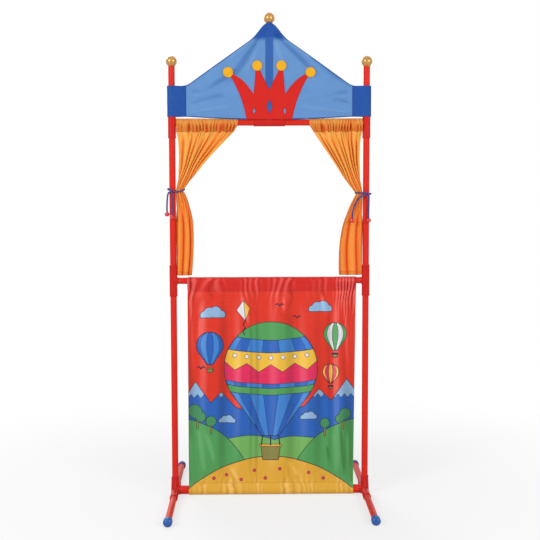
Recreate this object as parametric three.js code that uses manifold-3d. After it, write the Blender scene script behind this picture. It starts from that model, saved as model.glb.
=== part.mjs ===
// Puppet theatre stand for children: a knock-down frame of painted steel tube and moulded
// connectors, dressed with a canopy, two tied-back curtains and a printed front panel.
// Millimetres, +Z up, +X to the right, the audience on the -Y side. The origin is on the ground,
// midway between the four feet.

import * as THREE from 'three';
import { mergeVertices } from 'three/addons/utils/BufferGeometryUtils.js';
import Module from 'manifold-3d';

const wasm = await Module();
wasm.setup();

// Frame sizes
const uprightSpacing = 570;
const middleRailHeight = 648;
const topRailHeight = 1113;
const sideFinialRise = 176;
const centreFinialRise = 300;
const tubeDiameter = 19;
const tubeWall = 1.2;
const bottomRailDiameter = 26;
const bottomRailHeight = 16;
const footReach = 300;
const fitGap = 0.3;

// Connector sizes
const collarDiameter = 24;
const collarHalfLength = 46;
const socketStopHalf = 6;
const stubLength = 4;
const spigotLength = 30;
const footCollarTop = 57;
const footCollarLength = 75;
const footHubHalf = 14;
const footSocketFloor = 28;

// Foot cap and finial sizes
const capDiameter = 25.6;
const capLength = 24;
const capSocketDepth = 18;
const capRounding = 6;
const capFlatDepth = 0.5;
const finialDiameter = 32;
const finialPegLength = 26;

// Cloth sizes
const clothThickness = 1.5;
const canopyHemRise = 17;
const canopyHemSag = 9;
const canopySideHeight = 88;
const canopyKinkDrop = 42;
const canopySeamInset = 43;
const canopyKinkHalf = 45;
const canopyApexHalf = 10;
const canopyFlatHalf = 128;
const tunnelRise = 6;

// Crown sizes
const crownSpan = 240;
const crownHeight = 155;
const crownHemOverlap = 0.4;
const feltThickness = 1.2;
const discDiameter = 29.5;

// Curtain sizes
const headerRise = 11.6;
const headerDrop = 27;
const headerTaper = 12;
const curtainRise = 16;
const bundleDepth = 10;
const leftHeaderGap = 46;
const leftWaistReach = 28;
const leftHangReach = 60;
const rightHeaderGap = 71;
const rightWaistReach = 26;
const rightHangReach = 80;

// Front panel sizes
const panelLeftGap = 24.7;
const panelRightTopGap = 12.7;
const panelRightBottomGap = 18.7;
const panelHeaderDrop = 31;
const panelBottomRise = 22;

// Tie cord sizes
const tieCordDiameter = 5;
const beadDiameter = 14;

// Facet counts
const tubeSides = 16;
const ballSides = 16;
const ballRings = 8;
const boreSides = 10;
const capRoundingSteps = 3;
const postPocketSteps = 10;
const railPocketSteps = 9;
const crownCurveSteps = 6;
const cordSides = 8;
const cordSteps = 48;
const beadSides = 10;
const beadRings = 6;

// Radii and places worked out from the sizes above
const uprightX = uprightSpacing / 2;
const tubeRadius = tubeDiameter / 2;
const tubeBore = tubeRadius - tubeWall;
const collarRadius = collarDiameter / 2;
const socketRadius = tubeRadius + fitGap;
const spigotRadius = tubeBore - fitGap;
const bottomRailRadius = bottomRailDiameter / 2;
const bottomSpigotRadius = bottomRailRadius - tubeWall - fitGap;
const capRadius = capDiameter / 2;
const footAxisHeight = capRadius - capFlatDepth;
const finialRadius = finialDiameter / 2;
const finialSeatDrop = Math.sqrt(finialRadius ** 2 - tubeRadius ** 2);
const railStart = uprightX - collarRadius - stubLength - fitGap;
const sideFinialHeight = topRailHeight + sideFinialRise;
const centreFinialHeight = topRailHeight + centreFinialRise;
const canopyHemHeight = topRailHeight + canopyHemRise;
const canopySideTop = canopyHemHeight + canopySideHeight;
const canopyTop = centreFinialHeight - finialRadius;
const canopyKinkHeight = canopyTop - canopyKinkDrop;
const tunnelBottom = canopyHemHeight + tunnelRise;
const crownBase = canopyHemHeight - canopyHemSag - crownHemOverlap;
const headerBottom = topRailHeight - headerDrop;
const curtainBottom = middleRailHeight + curtainRise;
const panelHeaderSeam = middleRailHeight - panelHeaderDrop;
const panelBottomSeam = bottomRailHeight + panelBottomRise;
const quarterTurn = Math.PI / 2;
const halfTurn = Math.PI;
const cutOverrun = 2;
const mergeTolerance = 1e-4;

// Finishes
const paintedTube = new THREE.MeshStandardMaterial({ color: 0xd8281f, roughness: 0.35, metalness: 0.1 });
const redPlastic = new THREE.MeshStandardMaterial({ color: 0xcf2620, roughness: 0.42, metalness: 0 });
const bluePlastic = new THREE.MeshStandardMaterial({ color: 0x1f57b0, roughness: 0.45, metalness: 0 });
const goldPaint = new THREE.MeshStandardMaterial({ color: 0xb98a3e, roughness: 0.35, metalness: 0.6 });
const blueCloth = new THREE.MeshStandardMaterial({ color: 0x4b84cc, roughness: 0.8, metalness: 0 });
const redFelt = new THREE.MeshStandardMaterial({ color: 0xdc2626, roughness: 0.9, metalness: 0 });
const yellowFelt = new THREE.MeshStandardMaterial({ color: 0xf7b520, roughness: 0.9, metalness: 0 });
const orangeCloth = new THREE.MeshStandardMaterial({ color: 0xf29a35, roughness: 0.7, metalness: 0 });
const redSatin = new THREE.MeshStandardMaterial({ color: 0xdf2f26, roughness: 0.5, metalness: 0 });
const blueCord = new THREE.MeshStandardMaterial({ color: 0x33308a, roughness: 0.8, metalness: 0 });
const redBead = new THREE.MeshStandardMaterial({ color: 0xd0202a, roughness: 0.3, metalness: 0 });

const stand = new THREE.Group();

function addPiece(name, geometry, material, x = 0, y = 0, z = 0) {
  const mesh = new THREE.Mesh(geometry, material);
  mesh.name = name;
  mesh.position.set(x, y, z);
  stand.add(mesh);
  return mesh;
}

function meshGeometry(points, faces) {
  const geometry = new THREE.BufferGeometry();
  const positions = points.flatMap((point) => [point.x, point.y, point.z]);
  geometry.setAttribute('position', new THREE.Float32BufferAttribute(positions, 3));
  geometry.setIndex(faces.flat());
  geometry.computeVertexNormals();
  return geometry;
}

// Boolean cuts: a closed geometry becomes a solid and comes back as a geometry.
function toSolid(geometry) {
  const bare = geometry.clone();
  bare.deleteAttribute('normal');
  bare.deleteAttribute('uv');
  const merged = mergeVertices(bare, mergeTolerance);
  const corners = merged.index.array;
  const triangles = [];
  for (let i = 0; i < corners.length; i += 3) {
    const [a, b, c] = [corners[i], corners[i + 1], corners[i + 2]];
    if (a !== b && b !== c && c !== a) {
      triangles.push(a, b, c);
    }
  }
  return new wasm.Manifold(new wasm.Mesh({
    numProp: 3,
    vertProperties: new Float32Array(merged.attributes.position.array),
    triVerts: new Uint32Array(triangles),
  }));
}

function fromSolid(solid) {
  const mesh = solid.getMesh();
  const geometry = new THREE.BufferGeometry();
  geometry.setAttribute('position', new THREE.BufferAttribute(mesh.vertProperties.slice(), 3));
  geometry.setIndex(new THREE.BufferAttribute(mesh.triVerts.slice(), 1));
  geometry.computeVertexNormals();
  return geometry;
}

// A round bar from one place to another along X, Y or Z.
function bar(radius, axis, start, end, sides = tubeSides) {
  const geometry = new THREE.CylinderGeometry(radius, radius, end - start, sides);
  geometry.translate(0, (start + end) / 2, 0);
  if (axis === 'x') {
    geometry.rotateZ(-quarterTurn);
  }
  if (axis === 'z') {
    geometry.rotateX(quarterTurn);
  }
  return geometry;
}

// An open tube standing on its lower end, turned about Z.
function tube(length, outerRadius) {
  const innerRadius = outerRadius - tubeWall;
  const profile = [
    new THREE.Vector2(innerRadius, 0),
    new THREE.Vector2(outerRadius, 0),
    new THREE.Vector2(outerRadius, length),
    new THREE.Vector2(innerRadius, length),
    new THREE.Vector2(innerRadius, 0),
  ];
  const geometry = new THREE.LatheGeometry(profile, tubeSides);
  geometry.rotateX(quarterTurn);
  return geometry;
}

function uprightTube(name, x, bottom, top) {
  addPiece(name, tube(top - bottom, tubeRadius), paintedTube, x, 0, bottom);
}

function railTube(name, outerRadius, left, right, height) {
  const mesh = addPiece(name, tube(right - left, outerRadius), paintedTube, left, 0, height);
  mesh.rotation.y = quarterTurn;
}

// Tubes of the frame
for (const [sideName, side] of [['left', -1], ['right', 1]]) {
  const x = side * uprightX;
  const stop = socketStopHalf + fitGap;
  uprightTube(`${sideName}_lower_upright`, x, footSocketFloor + fitGap, middleRailHeight - stop);
  uprightTube(`${sideName}_upper_upright`, x, middleRailHeight + stop, topRailHeight - stop);
  uprightTube(`${sideName}_top_post`, x, topRailHeight + stop, sideFinialHeight - finialSeatDrop);
}
const centrePoleFoot = topRailHeight + collarRadius + stubLength + fitGap;
uprightTube('centre_pole', 0, centrePoleFoot, centreFinialHeight - finialSeatDrop);
railTube('left_top_rail', tubeRadius, -railStart, -socketStopHalf - fitGap, topRailHeight);
railTube('right_top_rail', tubeRadius, socketStopHalf + fitGap, railStart, topRailHeight);
railTube('middle_rail', tubeRadius, -railStart, railStart, middleRailHeight);
railTube('bottom_rail', bottomRailRadius, -railStart, railStart, bottomRailHeight);

// Tee: a sleeve with two sockets, and a short stub with a spigot that fills the third tube.
function tee() {
  const stubEnd = collarRadius + stubLength;
  const sleeve = toSolid(bar(collarRadius, 'z', -collarHalfLength, collarHalfLength));
  const stub = toSolid(bar(tubeRadius, 'x', 0, stubEnd));
  const spigot = toSolid(bar(spigotRadius, 'x', 0, stubEnd + spigotLength));
  const upperSocket = toSolid(bar(socketRadius, 'z', socketStopHalf, collarHalfLength + cutOverrun));
  const lowerSocket = toSolid(bar(socketRadius, 'z', -collarHalfLength - cutOverrun, -socketStopHalf));
  return sleeve.add(stub).add(spigot).subtract(upperSocket).subtract(lowerSocket);
}

const teeGeometry = fromSolid(tee());
for (const [rowName, height] of [['middle', middleRailHeight], ['top', topRailHeight]]) {
  addPiece(`left_${rowName}_tee`, teeGeometry, redPlastic, -uprightX, 0, height);
  const rightTee = addPiece(`right_${rowName}_tee`, teeGeometry, redPlastic, uprightX, 0, height);
  rightTee.rotation.z = halfTurn;
}
const centreTee = addPiece('centre_tee', teeGeometry, redPlastic, 0, 0, topRailHeight);
centreTee.rotation.y = -quarterTurn;

// Foot connector: one upright collar, two foot collars and a spigot for the bottom rail.
function footConnector() {
  const stubEnd = collarRadius + stubLength;
  const railRise = bottomRailHeight - footAxisHeight;
  const collarTop = footCollarTop - footAxisHeight;
  const socketFloor = footSocketFloor - footAxisHeight;
  const collar = toSolid(bar(collarRadius, 'z', 0, collarTop));
  const arms = toSolid(bar(collarRadius, 'y', -footCollarLength, footCollarLength));
  const stub = toSolid(bar(bottomRailRadius, 'x', 0, stubEnd)).translate([0, 0, railRise]);
  const spigotBar = toSolid(bar(bottomSpigotRadius, 'x', 0, stubEnd + spigotLength));
  const spigot = spigotBar.translate([0, 0, railRise]);
  const uprightSocket = toSolid(bar(socketRadius, 'z', socketFloor, collarTop + cutOverrun));
  const frontSocket = toSolid(bar(socketRadius, 'y', -footCollarLength - cutOverrun, -footHubHalf));
  const rearSocket = toSolid(bar(socketRadius, 'y', footHubHalf, footCollarLength + cutOverrun));
  const body = collar.add(arms).add(stub).add(spigot);
  return body.subtract(uprightSocket).subtract(frontSocket).subtract(rearSocket);
}

const footGeometry = fromSolid(footConnector());
addPiece('left_foot_connector', footGeometry, redPlastic, -uprightX, 0, footAxisHeight);
const rightConnector = addPiece('right_foot_connector', footGeometry, redPlastic, uprightX, 0, footAxisHeight);
rightConnector.rotation.z = halfTurn;

// Foot cap: a rounded cup pushed over the tube end, with a small flat underneath to stand on.
function footCap() {
  const flatRadius = capRadius - capRounding;
  const rounding = new THREE.Path().absarc(flatRadius, capRounding, capRounding, -quarterTurn, 0);
  const boreRadius = tubeRadius + fitGap;
  const profile = [
    new THREE.Vector2(0, 0),
    ...rounding.getPoints(capRoundingSteps),
    new THREE.Vector2(capRadius, capLength),
    new THREE.Vector2(boreRadius, capLength),
    new THREE.Vector2(boreRadius, capLength - capSocketDepth),
    new THREE.Vector2(0, capLength - capSocketDepth),
  ];
  const cup = new THREE.LatheGeometry(profile, tubeSides);
  const flatCut = new THREE.BoxGeometry(capDiameter, capLength + cutOverrun, capDiameter);
  flatCut.translate(0, capLength / 2, -capRadius - footAxisHeight);
  return toSolid(cup).subtract(toSolid(flatCut));
}

// Feet: a tube and a cap to the front and to the rear of each foot connector.
const footStart = footHubHalf + fitGap;
const footEnd = footReach - capLength + capSocketDepth - fitGap;
const footTubeGeometry = tube(footEnd - footStart, tubeRadius);
const capGeometry = fromSolid(footCap());
for (const [sideName, side] of [['left', -1], ['right', 1]]) {
  for (const [endName, end] of [['front', -1], ['rear', 1]]) {
    const x = side * uprightX;
    const name = `${sideName}_${endName}_foot`;
    const footTube = addPiece(name, footTubeGeometry, paintedTube, x, end * footStart, footAxisHeight);
    footTube.rotation.x = -end * quarterTurn;
    const cap = addPiece(`${name}_cap`, capGeometry, bluePlastic, x, end * footReach, footAxisHeight);
    if (end > 0) {
      cap.rotation.z = halfTurn;
    }
  }
}

// Finial: a turned ball with a peg that drops into the open top of its tube.
function finial() {
  const startAngle = -Math.acos(tubeRadius / finialRadius);
  const ballHeight = finialSeatDrop + fitGap;
  const ballArc = new THREE.Path().absarc(0, ballHeight, finialRadius, startAngle, quarterTurn);
  const ballPoints = ballArc.getPoints(ballRings);
  ballPoints[ballPoints.length - 1].x = 0;
  const profile = [
    new THREE.Vector2(0, -finialPegLength),
    new THREE.Vector2(spigotRadius, -finialPegLength),
    new THREE.Vector2(spigotRadius, fitGap),
    ...ballPoints,
  ];
  const geometry = new THREE.LatheGeometry(profile, ballSides);
  geometry.rotateX(quarterTurn);
  return geometry;
}

const finialGeometry = finial();
addPiece('left_finial', finialGeometry, goldPaint, -uprightX, 0, sideFinialHeight - finialSeatDrop);
addPiece('right_finial', finialGeometry, goldPaint, uprightX, 0, sideFinialHeight - finialSeatDrop);
addPiece('centre_finial', finialGeometry, goldPaint, 0, 0, centreFinialHeight - finialSeatDrop);

// The end of a cloth body: a ring without holes goes up the back and down the front, so its end is
// closed row by row, and a ring with holes is flat enough to be closed as one outline.
function endFaces(rings) {
  if (rings.length > 1) {
    const flat = rings.map((ring) => ring.map((point) => new THREE.Vector2(point.y, point.z)));
    return THREE.ShapeUtils.triangulateShape(flat[0], flat.slice(1));
  }
  const count = rings[0].length;
  const faces = [];
  for (let row = 0; row + 1 < count / 2; row += 1) {
    const [back, nextBack] = [row, row + 1];
    const [front, nextFront] = [count - 1 - row, count - 2 - row];
    faces.push([back, nextBack, nextFront], [back, nextFront, front]);
  }
  return faces;
}

// Cloth bodies: stations of rings, the first ring outside and any others the holes through it.
// Every ring runs counter-clockwise as seen from +X, and the stations follow +X.
function loft(stations) {
  const points = stations.flat(2);
  const starts = [];
  let count = 0;
  for (const rings of stations) {
    starts.push(rings.map((ring) => {
      const start = count;
      count += ring.length;
      return start;
    }));
  }
  const faces = [];
  for (let i = 0; i + 1 < stations.length; i += 1) {
    stations[i].forEach((ring, r) => {
      ring.forEach((point, j) => {
        const k = (j + 1) % ring.length;
        const [a, b] = [starts[i][r] + j, starts[i][r] + k];
        const [c, d] = [starts[i + 1][r] + k, starts[i + 1][r] + j];
        if (r === 0) {
          faces.push([a, b, d], [b, c, d]);
        } else {
          faces.push([a, d, b], [b, d, c]);
        }
      });
    });
  }
  for (const end of [0, stations.length - 1]) {
    for (const corners of endFaces(stations[end])) {
      const [a, b, c] = corners.map((corner) => starts[end][0] + corner);
      faces.push(end === 0 ? [a, c, b] : [a, b, c]);
    }
  }
  return meshGeometry(points, faces);
}

// An arc of points in the YZ plane at one place along X. A ruffle stands out most at the bottom of the
// arc, half as much at its front and back, and not at all at its top.
function arcPoints(x, height, radius, startAngle, endAngle, steps, ruffle = 0) {
  return Array.from({ length: steps + 1 }, (unused, i) => {
    const angle = startAngle + ((endAngle - startAngle) * i) / steps;
    const reach = radius + ruffle * (1 - Math.sin(angle)) / 2;
    return new THREE.Vector3(x, reach * Math.cos(angle), height + reach * Math.sin(angle));
  });
}

// The hole that a rail passes through, and the corner radius that keeps its flats clear of the rail.
function holePoints(x, height, radius) {
  return arcPoints(x, height, radius, 0, 2 * halfTurn, boreSides).slice(0, -1);
}

function aroundRail(railRadius) {
  return (railRadius + fitGap) / Math.cos(halfTurn / boreSides);
}

// How far below or above level the cloth leaves a round pocket for its seam.
function leaveAngle(radius, seamDistance) {
  return quarterTurn - Math.acos(radius / seamDistance);
}

// Canopy: one stretched sheet, a pocket down each side for the posts and a tunnel for the centre pole.
const canopyHalfWidth = uprightX - canopySeamInset;
const canopyFront = tubeRadius + fitGap + clothThickness;
const canopyColumnShares = [0, 0.04, 0.11, 0.186, 0.3, 0.4, 0.53, 0.7, 0.85, 1];
const canopyRows = 6;
const canopyEase = 1.5;

function canopyTopEdge(distance) {
  if (distance >= canopyKinkHalf) {
    const share = (canopyHalfWidth - distance) / (canopyHalfWidth - canopyKinkHalf);
    return canopySideTop + (canopyKinkHeight - canopySideTop) * share;
  }
  const share = Math.min(1, (canopyKinkHalf - distance) / (canopyKinkHalf - canopyApexHalf));
  return canopyKinkHeight + (canopyTop - canopyKinkHeight) * share;
}

function canopySheet() {
  const leftShares = canopyColumnShares.slice(1).reverse().map((share) => -share);
  const places = [...leftShares, ...canopyColumnShares];
  const stations = places.map((place) => {
    const distance = Math.abs(place) * (canopyHalfWidth + clothThickness);
    const x = place * (canopyHalfWidth + clothThickness);
    const bottom = canopyHemHeight - canopyHemSag * (1 - Math.abs(place) ** 2);
    const top = canopyTopEdge(Math.min(distance, canopyHalfWidth));
    const away = Math.max(0, (distance - canopyFlatHalf) / (canopyHalfWidth - canopyFlatHalf));
    const front = -canopyFront + (canopyFront - clothThickness / 2) * Math.min(1, away) ** canopyEase;
    const back = [];
    const face = [];
    for (let row = 0; row <= canopyRows; row += 1) {
      const height = bottom + ((top - bottom) * row) / canopyRows;
      back.push(new THREE.Vector3(x, front + clothThickness, height));
      face.unshift(new THREE.Vector3(x, front, height));
    }
    return [[...back, ...face]];
  });
  return toSolid(loft(stations));
}

// A loop of cloth round the post, drawn together towards the seam on its +X side.
function pocketShape(radius, seamDistance, halfWidth) {
  const leave = Math.acos(radius / seamDistance);
  const shape = new THREE.Shape();
  shape.absarc(0, 0, radius, leave, 2 * halfTurn - leave);
  shape.lineTo(seamDistance, -halfWidth);
  shape.lineTo(seamDistance, halfWidth);
  return shape;
}

function canopyPocket() {
  const innerRadius = collarRadius + fitGap;
  const outer = pocketShape(innerRadius + clothThickness, canopySeamInset + clothThickness, clothThickness);
  const inner = pocketShape(innerRadius, canopySeamInset - clothThickness, fitGap);
  outer.holes.push(inner);
  const settings = { depth: canopySideHeight, bevelEnabled: false, curveSegments: postPocketSteps };
  return toSolid(new THREE.ExtrudeGeometry(outer, settings));
}

function canopy() {
  const pocket = canopyPocket();
  const left = pocket.translate([-uprightX, 0, canopyHemHeight]);
  const right = pocket.rotate([0, 0, 180]).translate([uprightX, 0, canopyHemHeight]);
  const tunnel = toSolid(bar(canopyFront, 'z', tunnelBottom, canopyTop));
  const poleWayRadius = canopyFront - clothThickness;
  const poleWay = toSolid(bar(poleWayRadius, 'z', tunnelBottom - cutOverrun, canopyTop + cutOverrun));
  return canopySheet().add(left).add(right).add(tunnel).subtract(poleWay);
}

addPiece('canopy', fromSolid(canopy()), blueCloth);

// Crown: a felt shape sewn on the canopy, with three diamond openings.
const crownHalf = crownSpan / 2;
const crownOutline = {
  base: [0.553, 0],
  outerBow: [0.648, 0.43],
  outerTip: [0.945, 0.815],
  point: [1, 0.88],
  innerTip: [0.89, 0.85],
  innerBow: [0.597, 0.748],
  outerValley: [0.382, 0.468],
  spikeOuter: [0.333, 0.897],
  spikePoint: [0.293, 1],
  spikeInner: [0.217, 0.903],
  centreValley: [0, 0.55],
};
const largeDiamond = { x: 0, z: 0.245, halfWidth: 0.075, halfHeight: 0.14 };
const smallDiamond = { x: 0.373, z: 0.16, halfWidth: 0.037, halfHeight: 0.061 };

function crownPoint(shares, mirror) {
  return [mirror * shares[0] * crownHalf, shares[1] * crownHeight];
}

function diamondPath(shares, mirror) {
  const x = mirror * shares.x * crownHalf;
  const z = shares.z * crownHeight;
  const path = new THREE.Path();
  path.moveTo(x, z - shares.halfHeight * crownHeight);
  path.lineTo(x + shares.halfWidth * crownHalf, z);
  path.lineTo(x, z + shares.halfHeight * crownHeight);
  path.lineTo(x - shares.halfWidth * crownHalf, z);
  path.closePath();
  return path;
}

function crown() {
  const o = crownOutline;
  const shape = new THREE.Shape();
  shape.moveTo(...crownPoint(o.base, -1));
  shape.lineTo(...crownPoint(o.base, 1));
  shape.quadraticCurveTo(...crownPoint(o.outerBow, 1), ...crownPoint(o.outerTip, 1));
  shape.lineTo(...crownPoint(o.point, 1));
  shape.lineTo(...crownPoint(o.innerTip, 1));
  shape.quadraticCurveTo(...crownPoint(o.innerBow, 1), ...crownPoint(o.outerValley, 1));
  shape.lineTo(...crownPoint(o.spikeOuter, 1));
  shape.lineTo(...crownPoint(o.spikePoint, 1));
  shape.lineTo(...crownPoint(o.spikeInner, 1));
  shape.lineTo(...crownPoint(o.centreValley, 1));
  shape.lineTo(...crownPoint(o.spikeInner, -1));
  shape.lineTo(...crownPoint(o.spikePoint, -1));
  shape.lineTo(...crownPoint(o.spikeOuter, -1));
  shape.lineTo(...crownPoint(o.outerValley, -1));
  shape.quadraticCurveTo(...crownPoint(o.innerBow, -1), ...crownPoint(o.innerTip, -1));
  shape.lineTo(...crownPoint(o.point, -1));
  shape.lineTo(...crownPoint(o.outerTip, -1));
  shape.quadraticCurveTo(...crownPoint(o.outerBow, -1), ...crownPoint(o.base, -1));
  shape.holes.push(diamondPath(largeDiamond, 1));
  shape.holes.push(diamondPath(smallDiamond, 1), diamondPath(smallDiamond, -1));
  const settings = { depth: feltThickness, bevelEnabled: false, curveSegments: crownCurveSteps };
  const geometry = new THREE.ExtrudeGeometry(shape, settings);
  geometry.rotateX(quarterTurn);
  return geometry;
}

const crownBack = -canopyFront - fitGap;
addPiece('crown', crown(), redFelt, 0, crownBack, crownBase);

const discMiddle = crownBack - feltThickness - fitGap - feltThickness / 2;
const discPlaces = [
  ['left_outer_disc', crownOutline.point, -1],
  ['left_inner_disc', crownOutline.spikePoint, -1],
  ['right_inner_disc', crownOutline.spikePoint, 1],
  ['right_outer_disc', crownOutline.point, 1],
];
for (const [name, shares, mirror] of discPlaces) {
  const [x, z] = crownPoint(shares, mirror);
  const disc = bar(discDiameter / 2, 'y', -feltThickness / 2, feltThickness / 2);
  addPiece(name, disc, yellowFelt, x, discMiddle, crownBase + z);
}

// The two curtains. Each is tied at a share of its drop, and hangs from the tie in its own way.
const curtainDrop = headerBottom - curtainBottom;
const headerOuterReach = collarRadius + stubLength / 4;
const headerRoom = uprightX - headerOuterReach - collarHalfLength;
const curtains = [
  {
    name: 'left', side: -1, headerWidth: headerRoom - leftHeaderGap,
    waistReach: leftWaistReach, hangReach: leftHangReach,
    tieShare: 0.5924, hemTaperShare: 0.25, freeEdgeBow: 1.15, fallQuickness: 5, foldCount: 6,
  },
  {
    name: 'right', side: 1, headerWidth: headerRoom - rightHeaderGap,
    waistReach: rightWaistReach, hangReach: rightHangReach,
    tieShare: 0.5687, hemTaperShare: 0.05, freeEdgeBow: 0.96, fallQuickness: 2.7, foldCount: 5,
  },
];

function tieHeight(curtain) {
  return curtainBottom + curtainDrop * curtain.tieShare;
}

// Curtain header: a rod pocket gathered on the top rail, in soft ruffles.
const pocketBore = aroundRail(tubeRadius);
const ruffleDepth = 3;
const gathersPerHeader = 5;
const stationsPerGather = 4;
const taperQuickness = 6;

function curtainHeader(curtain) {
  const stationCount = gathersPerHeader * stationsPerGather;
  const stations = [];
  for (let i = 0; i <= stationCount; i += 1) {
    const share = i / stationCount;
    const reach = headerOuterReach + curtain.headerWidth * share;
    const ruffle = ruffleDepth * (0.5 - 0.5 * Math.cos(2 * halfTurn * share * gathersPerHeader));
    const leave = leaveAngle(headerRise, headerDrop);
    const x = curtain.side * (uprightX - reach);
    const seamHalf = clothThickness + ruffle / 2;
    const drawn = headerTaper * share ** taperQuickness;
    const seamX = x + curtain.side * drawn;
    stations.push([
      [
        new THREE.Vector3(seamX, -seamHalf, headerBottom + fitGap),
        new THREE.Vector3(seamX, seamHalf, headerBottom + fitGap),
        ...arcPoints(x, topRailHeight, headerRise, -leave, halfTurn + leave, railPocketSteps, ruffle),
      ],
      holePoints(x, topRailHeight, pocketBore),
    ]);
  }
  if (curtain.side > 0) {
    stations.reverse();
  }
  return loft(stations);
}

// Curtain drape: from the gathered seam to the tie, where it is a thick bundle, and then to the hem.
const drapeColumnsPerFold = 4;
const rowsAboveTie = 9;
const rowsBelowTie = 8;
const rowCrowding = 1.5;
const drapeOuterReach = collarRadius + 2 * stubLength;
const foldAtSeam = 3;
const foldAtTie = 5;
const foldGrowth = 2;
const outerEdgeQuickness = 4;
const gatherQuickness = 3;
const spreadQuickness = 4;
const hemQuickness = 4;
const waistOuterReach = tubeRadius + 2 * clothThickness;

function drapeAt(curtain, height) {
  const top = headerBottom - fitGap;
  const tied = tieHeight(curtain);
  if (height > tied) {
    const down = (top - height) / (top - tied);
    const topReach = headerOuterReach + curtain.headerWidth - headerTaper;
    const inner = curtain.waistReach + (topReach - curtain.waistReach) * (1 - down) ** curtain.freeEdgeBow;
    const outerShare = Math.min(1, outerEdgeQuickness * (1 - down));
    const outer = waistOuterReach + (drapeOuterReach - waistOuterReach) * outerShare;
    const gather = down ** gatherQuickness;
    return { inner, outer, gather, fold: foldAtSeam + foldGrowth * down };
  }
  const down = (tied - height) / (tied - curtainBottom);
  const taper = 1 - curtain.hemTaperShare * down ** hemQuickness;
  const fall = (1 - (1 - down) ** curtain.fallQuickness) * taper;
  const inner = curtain.waistReach + (curtain.hangReach - curtain.waistReach) * fall;
  const gather = (1 - down) ** spreadQuickness;
  return { inner, outer: waistOuterReach, gather, fold: foldAtTie + foldGrowth * down };
}

function curtainDrape(curtain) {
  const columnCount = curtain.foldCount * drapeColumnsPerFold;
  const top = headerBottom - fitGap;
  const tied = tieHeight(curtain);
  const rowHeights = [];
  for (let row = -rowsBelowTie; row <= rowsAboveTie; row += 1) {
    const share = row < 0 ? -row / rowsBelowTie : row / rowsAboveTie;
    const end = row < 0 ? curtainBottom : top;
    rowHeights.push(tied + (end - tied) * share ** rowCrowding);
  }
  const stations = [];
  for (let column = 0; column <= columnCount; column += 1) {
    const share = column / columnCount;
    const wave = Math.cos(2 * halfTurn * share * curtain.foldCount);
    const back = [];
    const face = [];
    for (const height of rowHeights) {
      const { inner, outer, gather, fold } = drapeAt(curtain, height);
      const roundness = Math.sqrt(1 - (2 * share - 1) ** 2);
      const depth = clothThickness + (bundleDepth - clothThickness) * gather * roundness;
      const x = curtain.side * (uprightX - outer - (inner - outer) * share);
      const narrow = Math.min(1, (inner - outer) / (curtain.foldCount * 2 * fold));
      const middle = fold * narrow * wave;
      back.push(new THREE.Vector3(x, middle + depth / 2, height));
      face.unshift(new THREE.Vector3(x, middle - depth / 2, height));
    }
    stations.push([[...back, ...face]]);
  }
  if (curtain.side > 0) {
    stations.reverse();
  }
  return loft(stations);
}

for (const curtain of curtains) {
  addPiece(`${curtain.name}_curtain_header`, curtainHeader(curtain), orangeCloth);
  addPiece(`${curtain.name}_curtain_drape`, curtainDrape(curtain), orangeCloth);
}

// Front panel: a satin sheet with a gathered pocket on the middle rail and another on the bottom rail.
const panelHeaderRadius = pocketBore + clothThickness;
const panelBottomBore = aroundRail(bottomRailRadius);
const panelBottomRadius = panelBottomBore + clothThickness;
const panelLeft = panelLeftGap - railStart;
const panelTopRight = railStart - panelRightTopGap;
const panelBottomRight = railStart - panelRightBottomGap;
const panelPlane = -3.5;
const panelFoldDepth = 3;
const panelFoldCount = 5;
const panelStations = 20;
const panelRows = 6;
const foldStartShare = 0.15;
const foldSpanShare = 0.7;

function frontPanel() {
  const stations = [];
  for (let i = 0; i <= panelStations; i += 1) {
    const place = i / panelStations;
    const topX = panelLeft + (panelTopRight - panelLeft) * place;
    const bottomX = panelLeft + (panelBottomRight - panelLeft) * place;
    const wave = Math.cos(2 * halfTurn * place * panelFoldCount);
    const ruffle = ruffleDepth * (0.5 + 0.5 * wave);
    const headerLeave = leaveAngle(panelHeaderRadius, middleRailHeight - panelHeaderSeam);
    const bottomLeave = leaveAngle(panelBottomRadius, panelBottomSeam - bottomRailHeight);
    const back = [];
    const face = [];
    for (let row = 0; row <= panelRows; row += 1) {
      const up = row / panelRows;
      const height = panelBottomSeam + (panelHeaderSeam - panelBottomSeam) * up;
      const x = bottomX + (topX - bottomX) * up;
      const foldShare = Math.sin(halfTurn * (foldStartShare + foldSpanShare * up));
      const middle = panelPlane + panelFoldDepth * wave * foldShare;
      back.push(new THREE.Vector3(x, middle + clothThickness / 2, height));
      face.unshift(new THREE.Vector3(x, middle - clothThickness / 2, height));
    }
    stations.push([
      [
        ...back,
        ...arcPoints(topX, middleRailHeight, panelHeaderRadius, -headerLeave, halfTurn + headerLeave,
          railPocketSteps, ruffle),
        ...face,
        ...arcPoints(bottomX, bottomRailHeight, panelBottomRadius, halfTurn - bottomLeave,
          2 * halfTurn + bottomLeave, railPocketSteps),
      ],
      holePoints(topX, middleRailHeight, pocketBore),
      holePoints(bottomX, bottomRailHeight, panelBottomBore),
    ]);
  }
  return loft(stations);
}

addPiece('front_panel', frontPanel(), redSatin);

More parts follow.
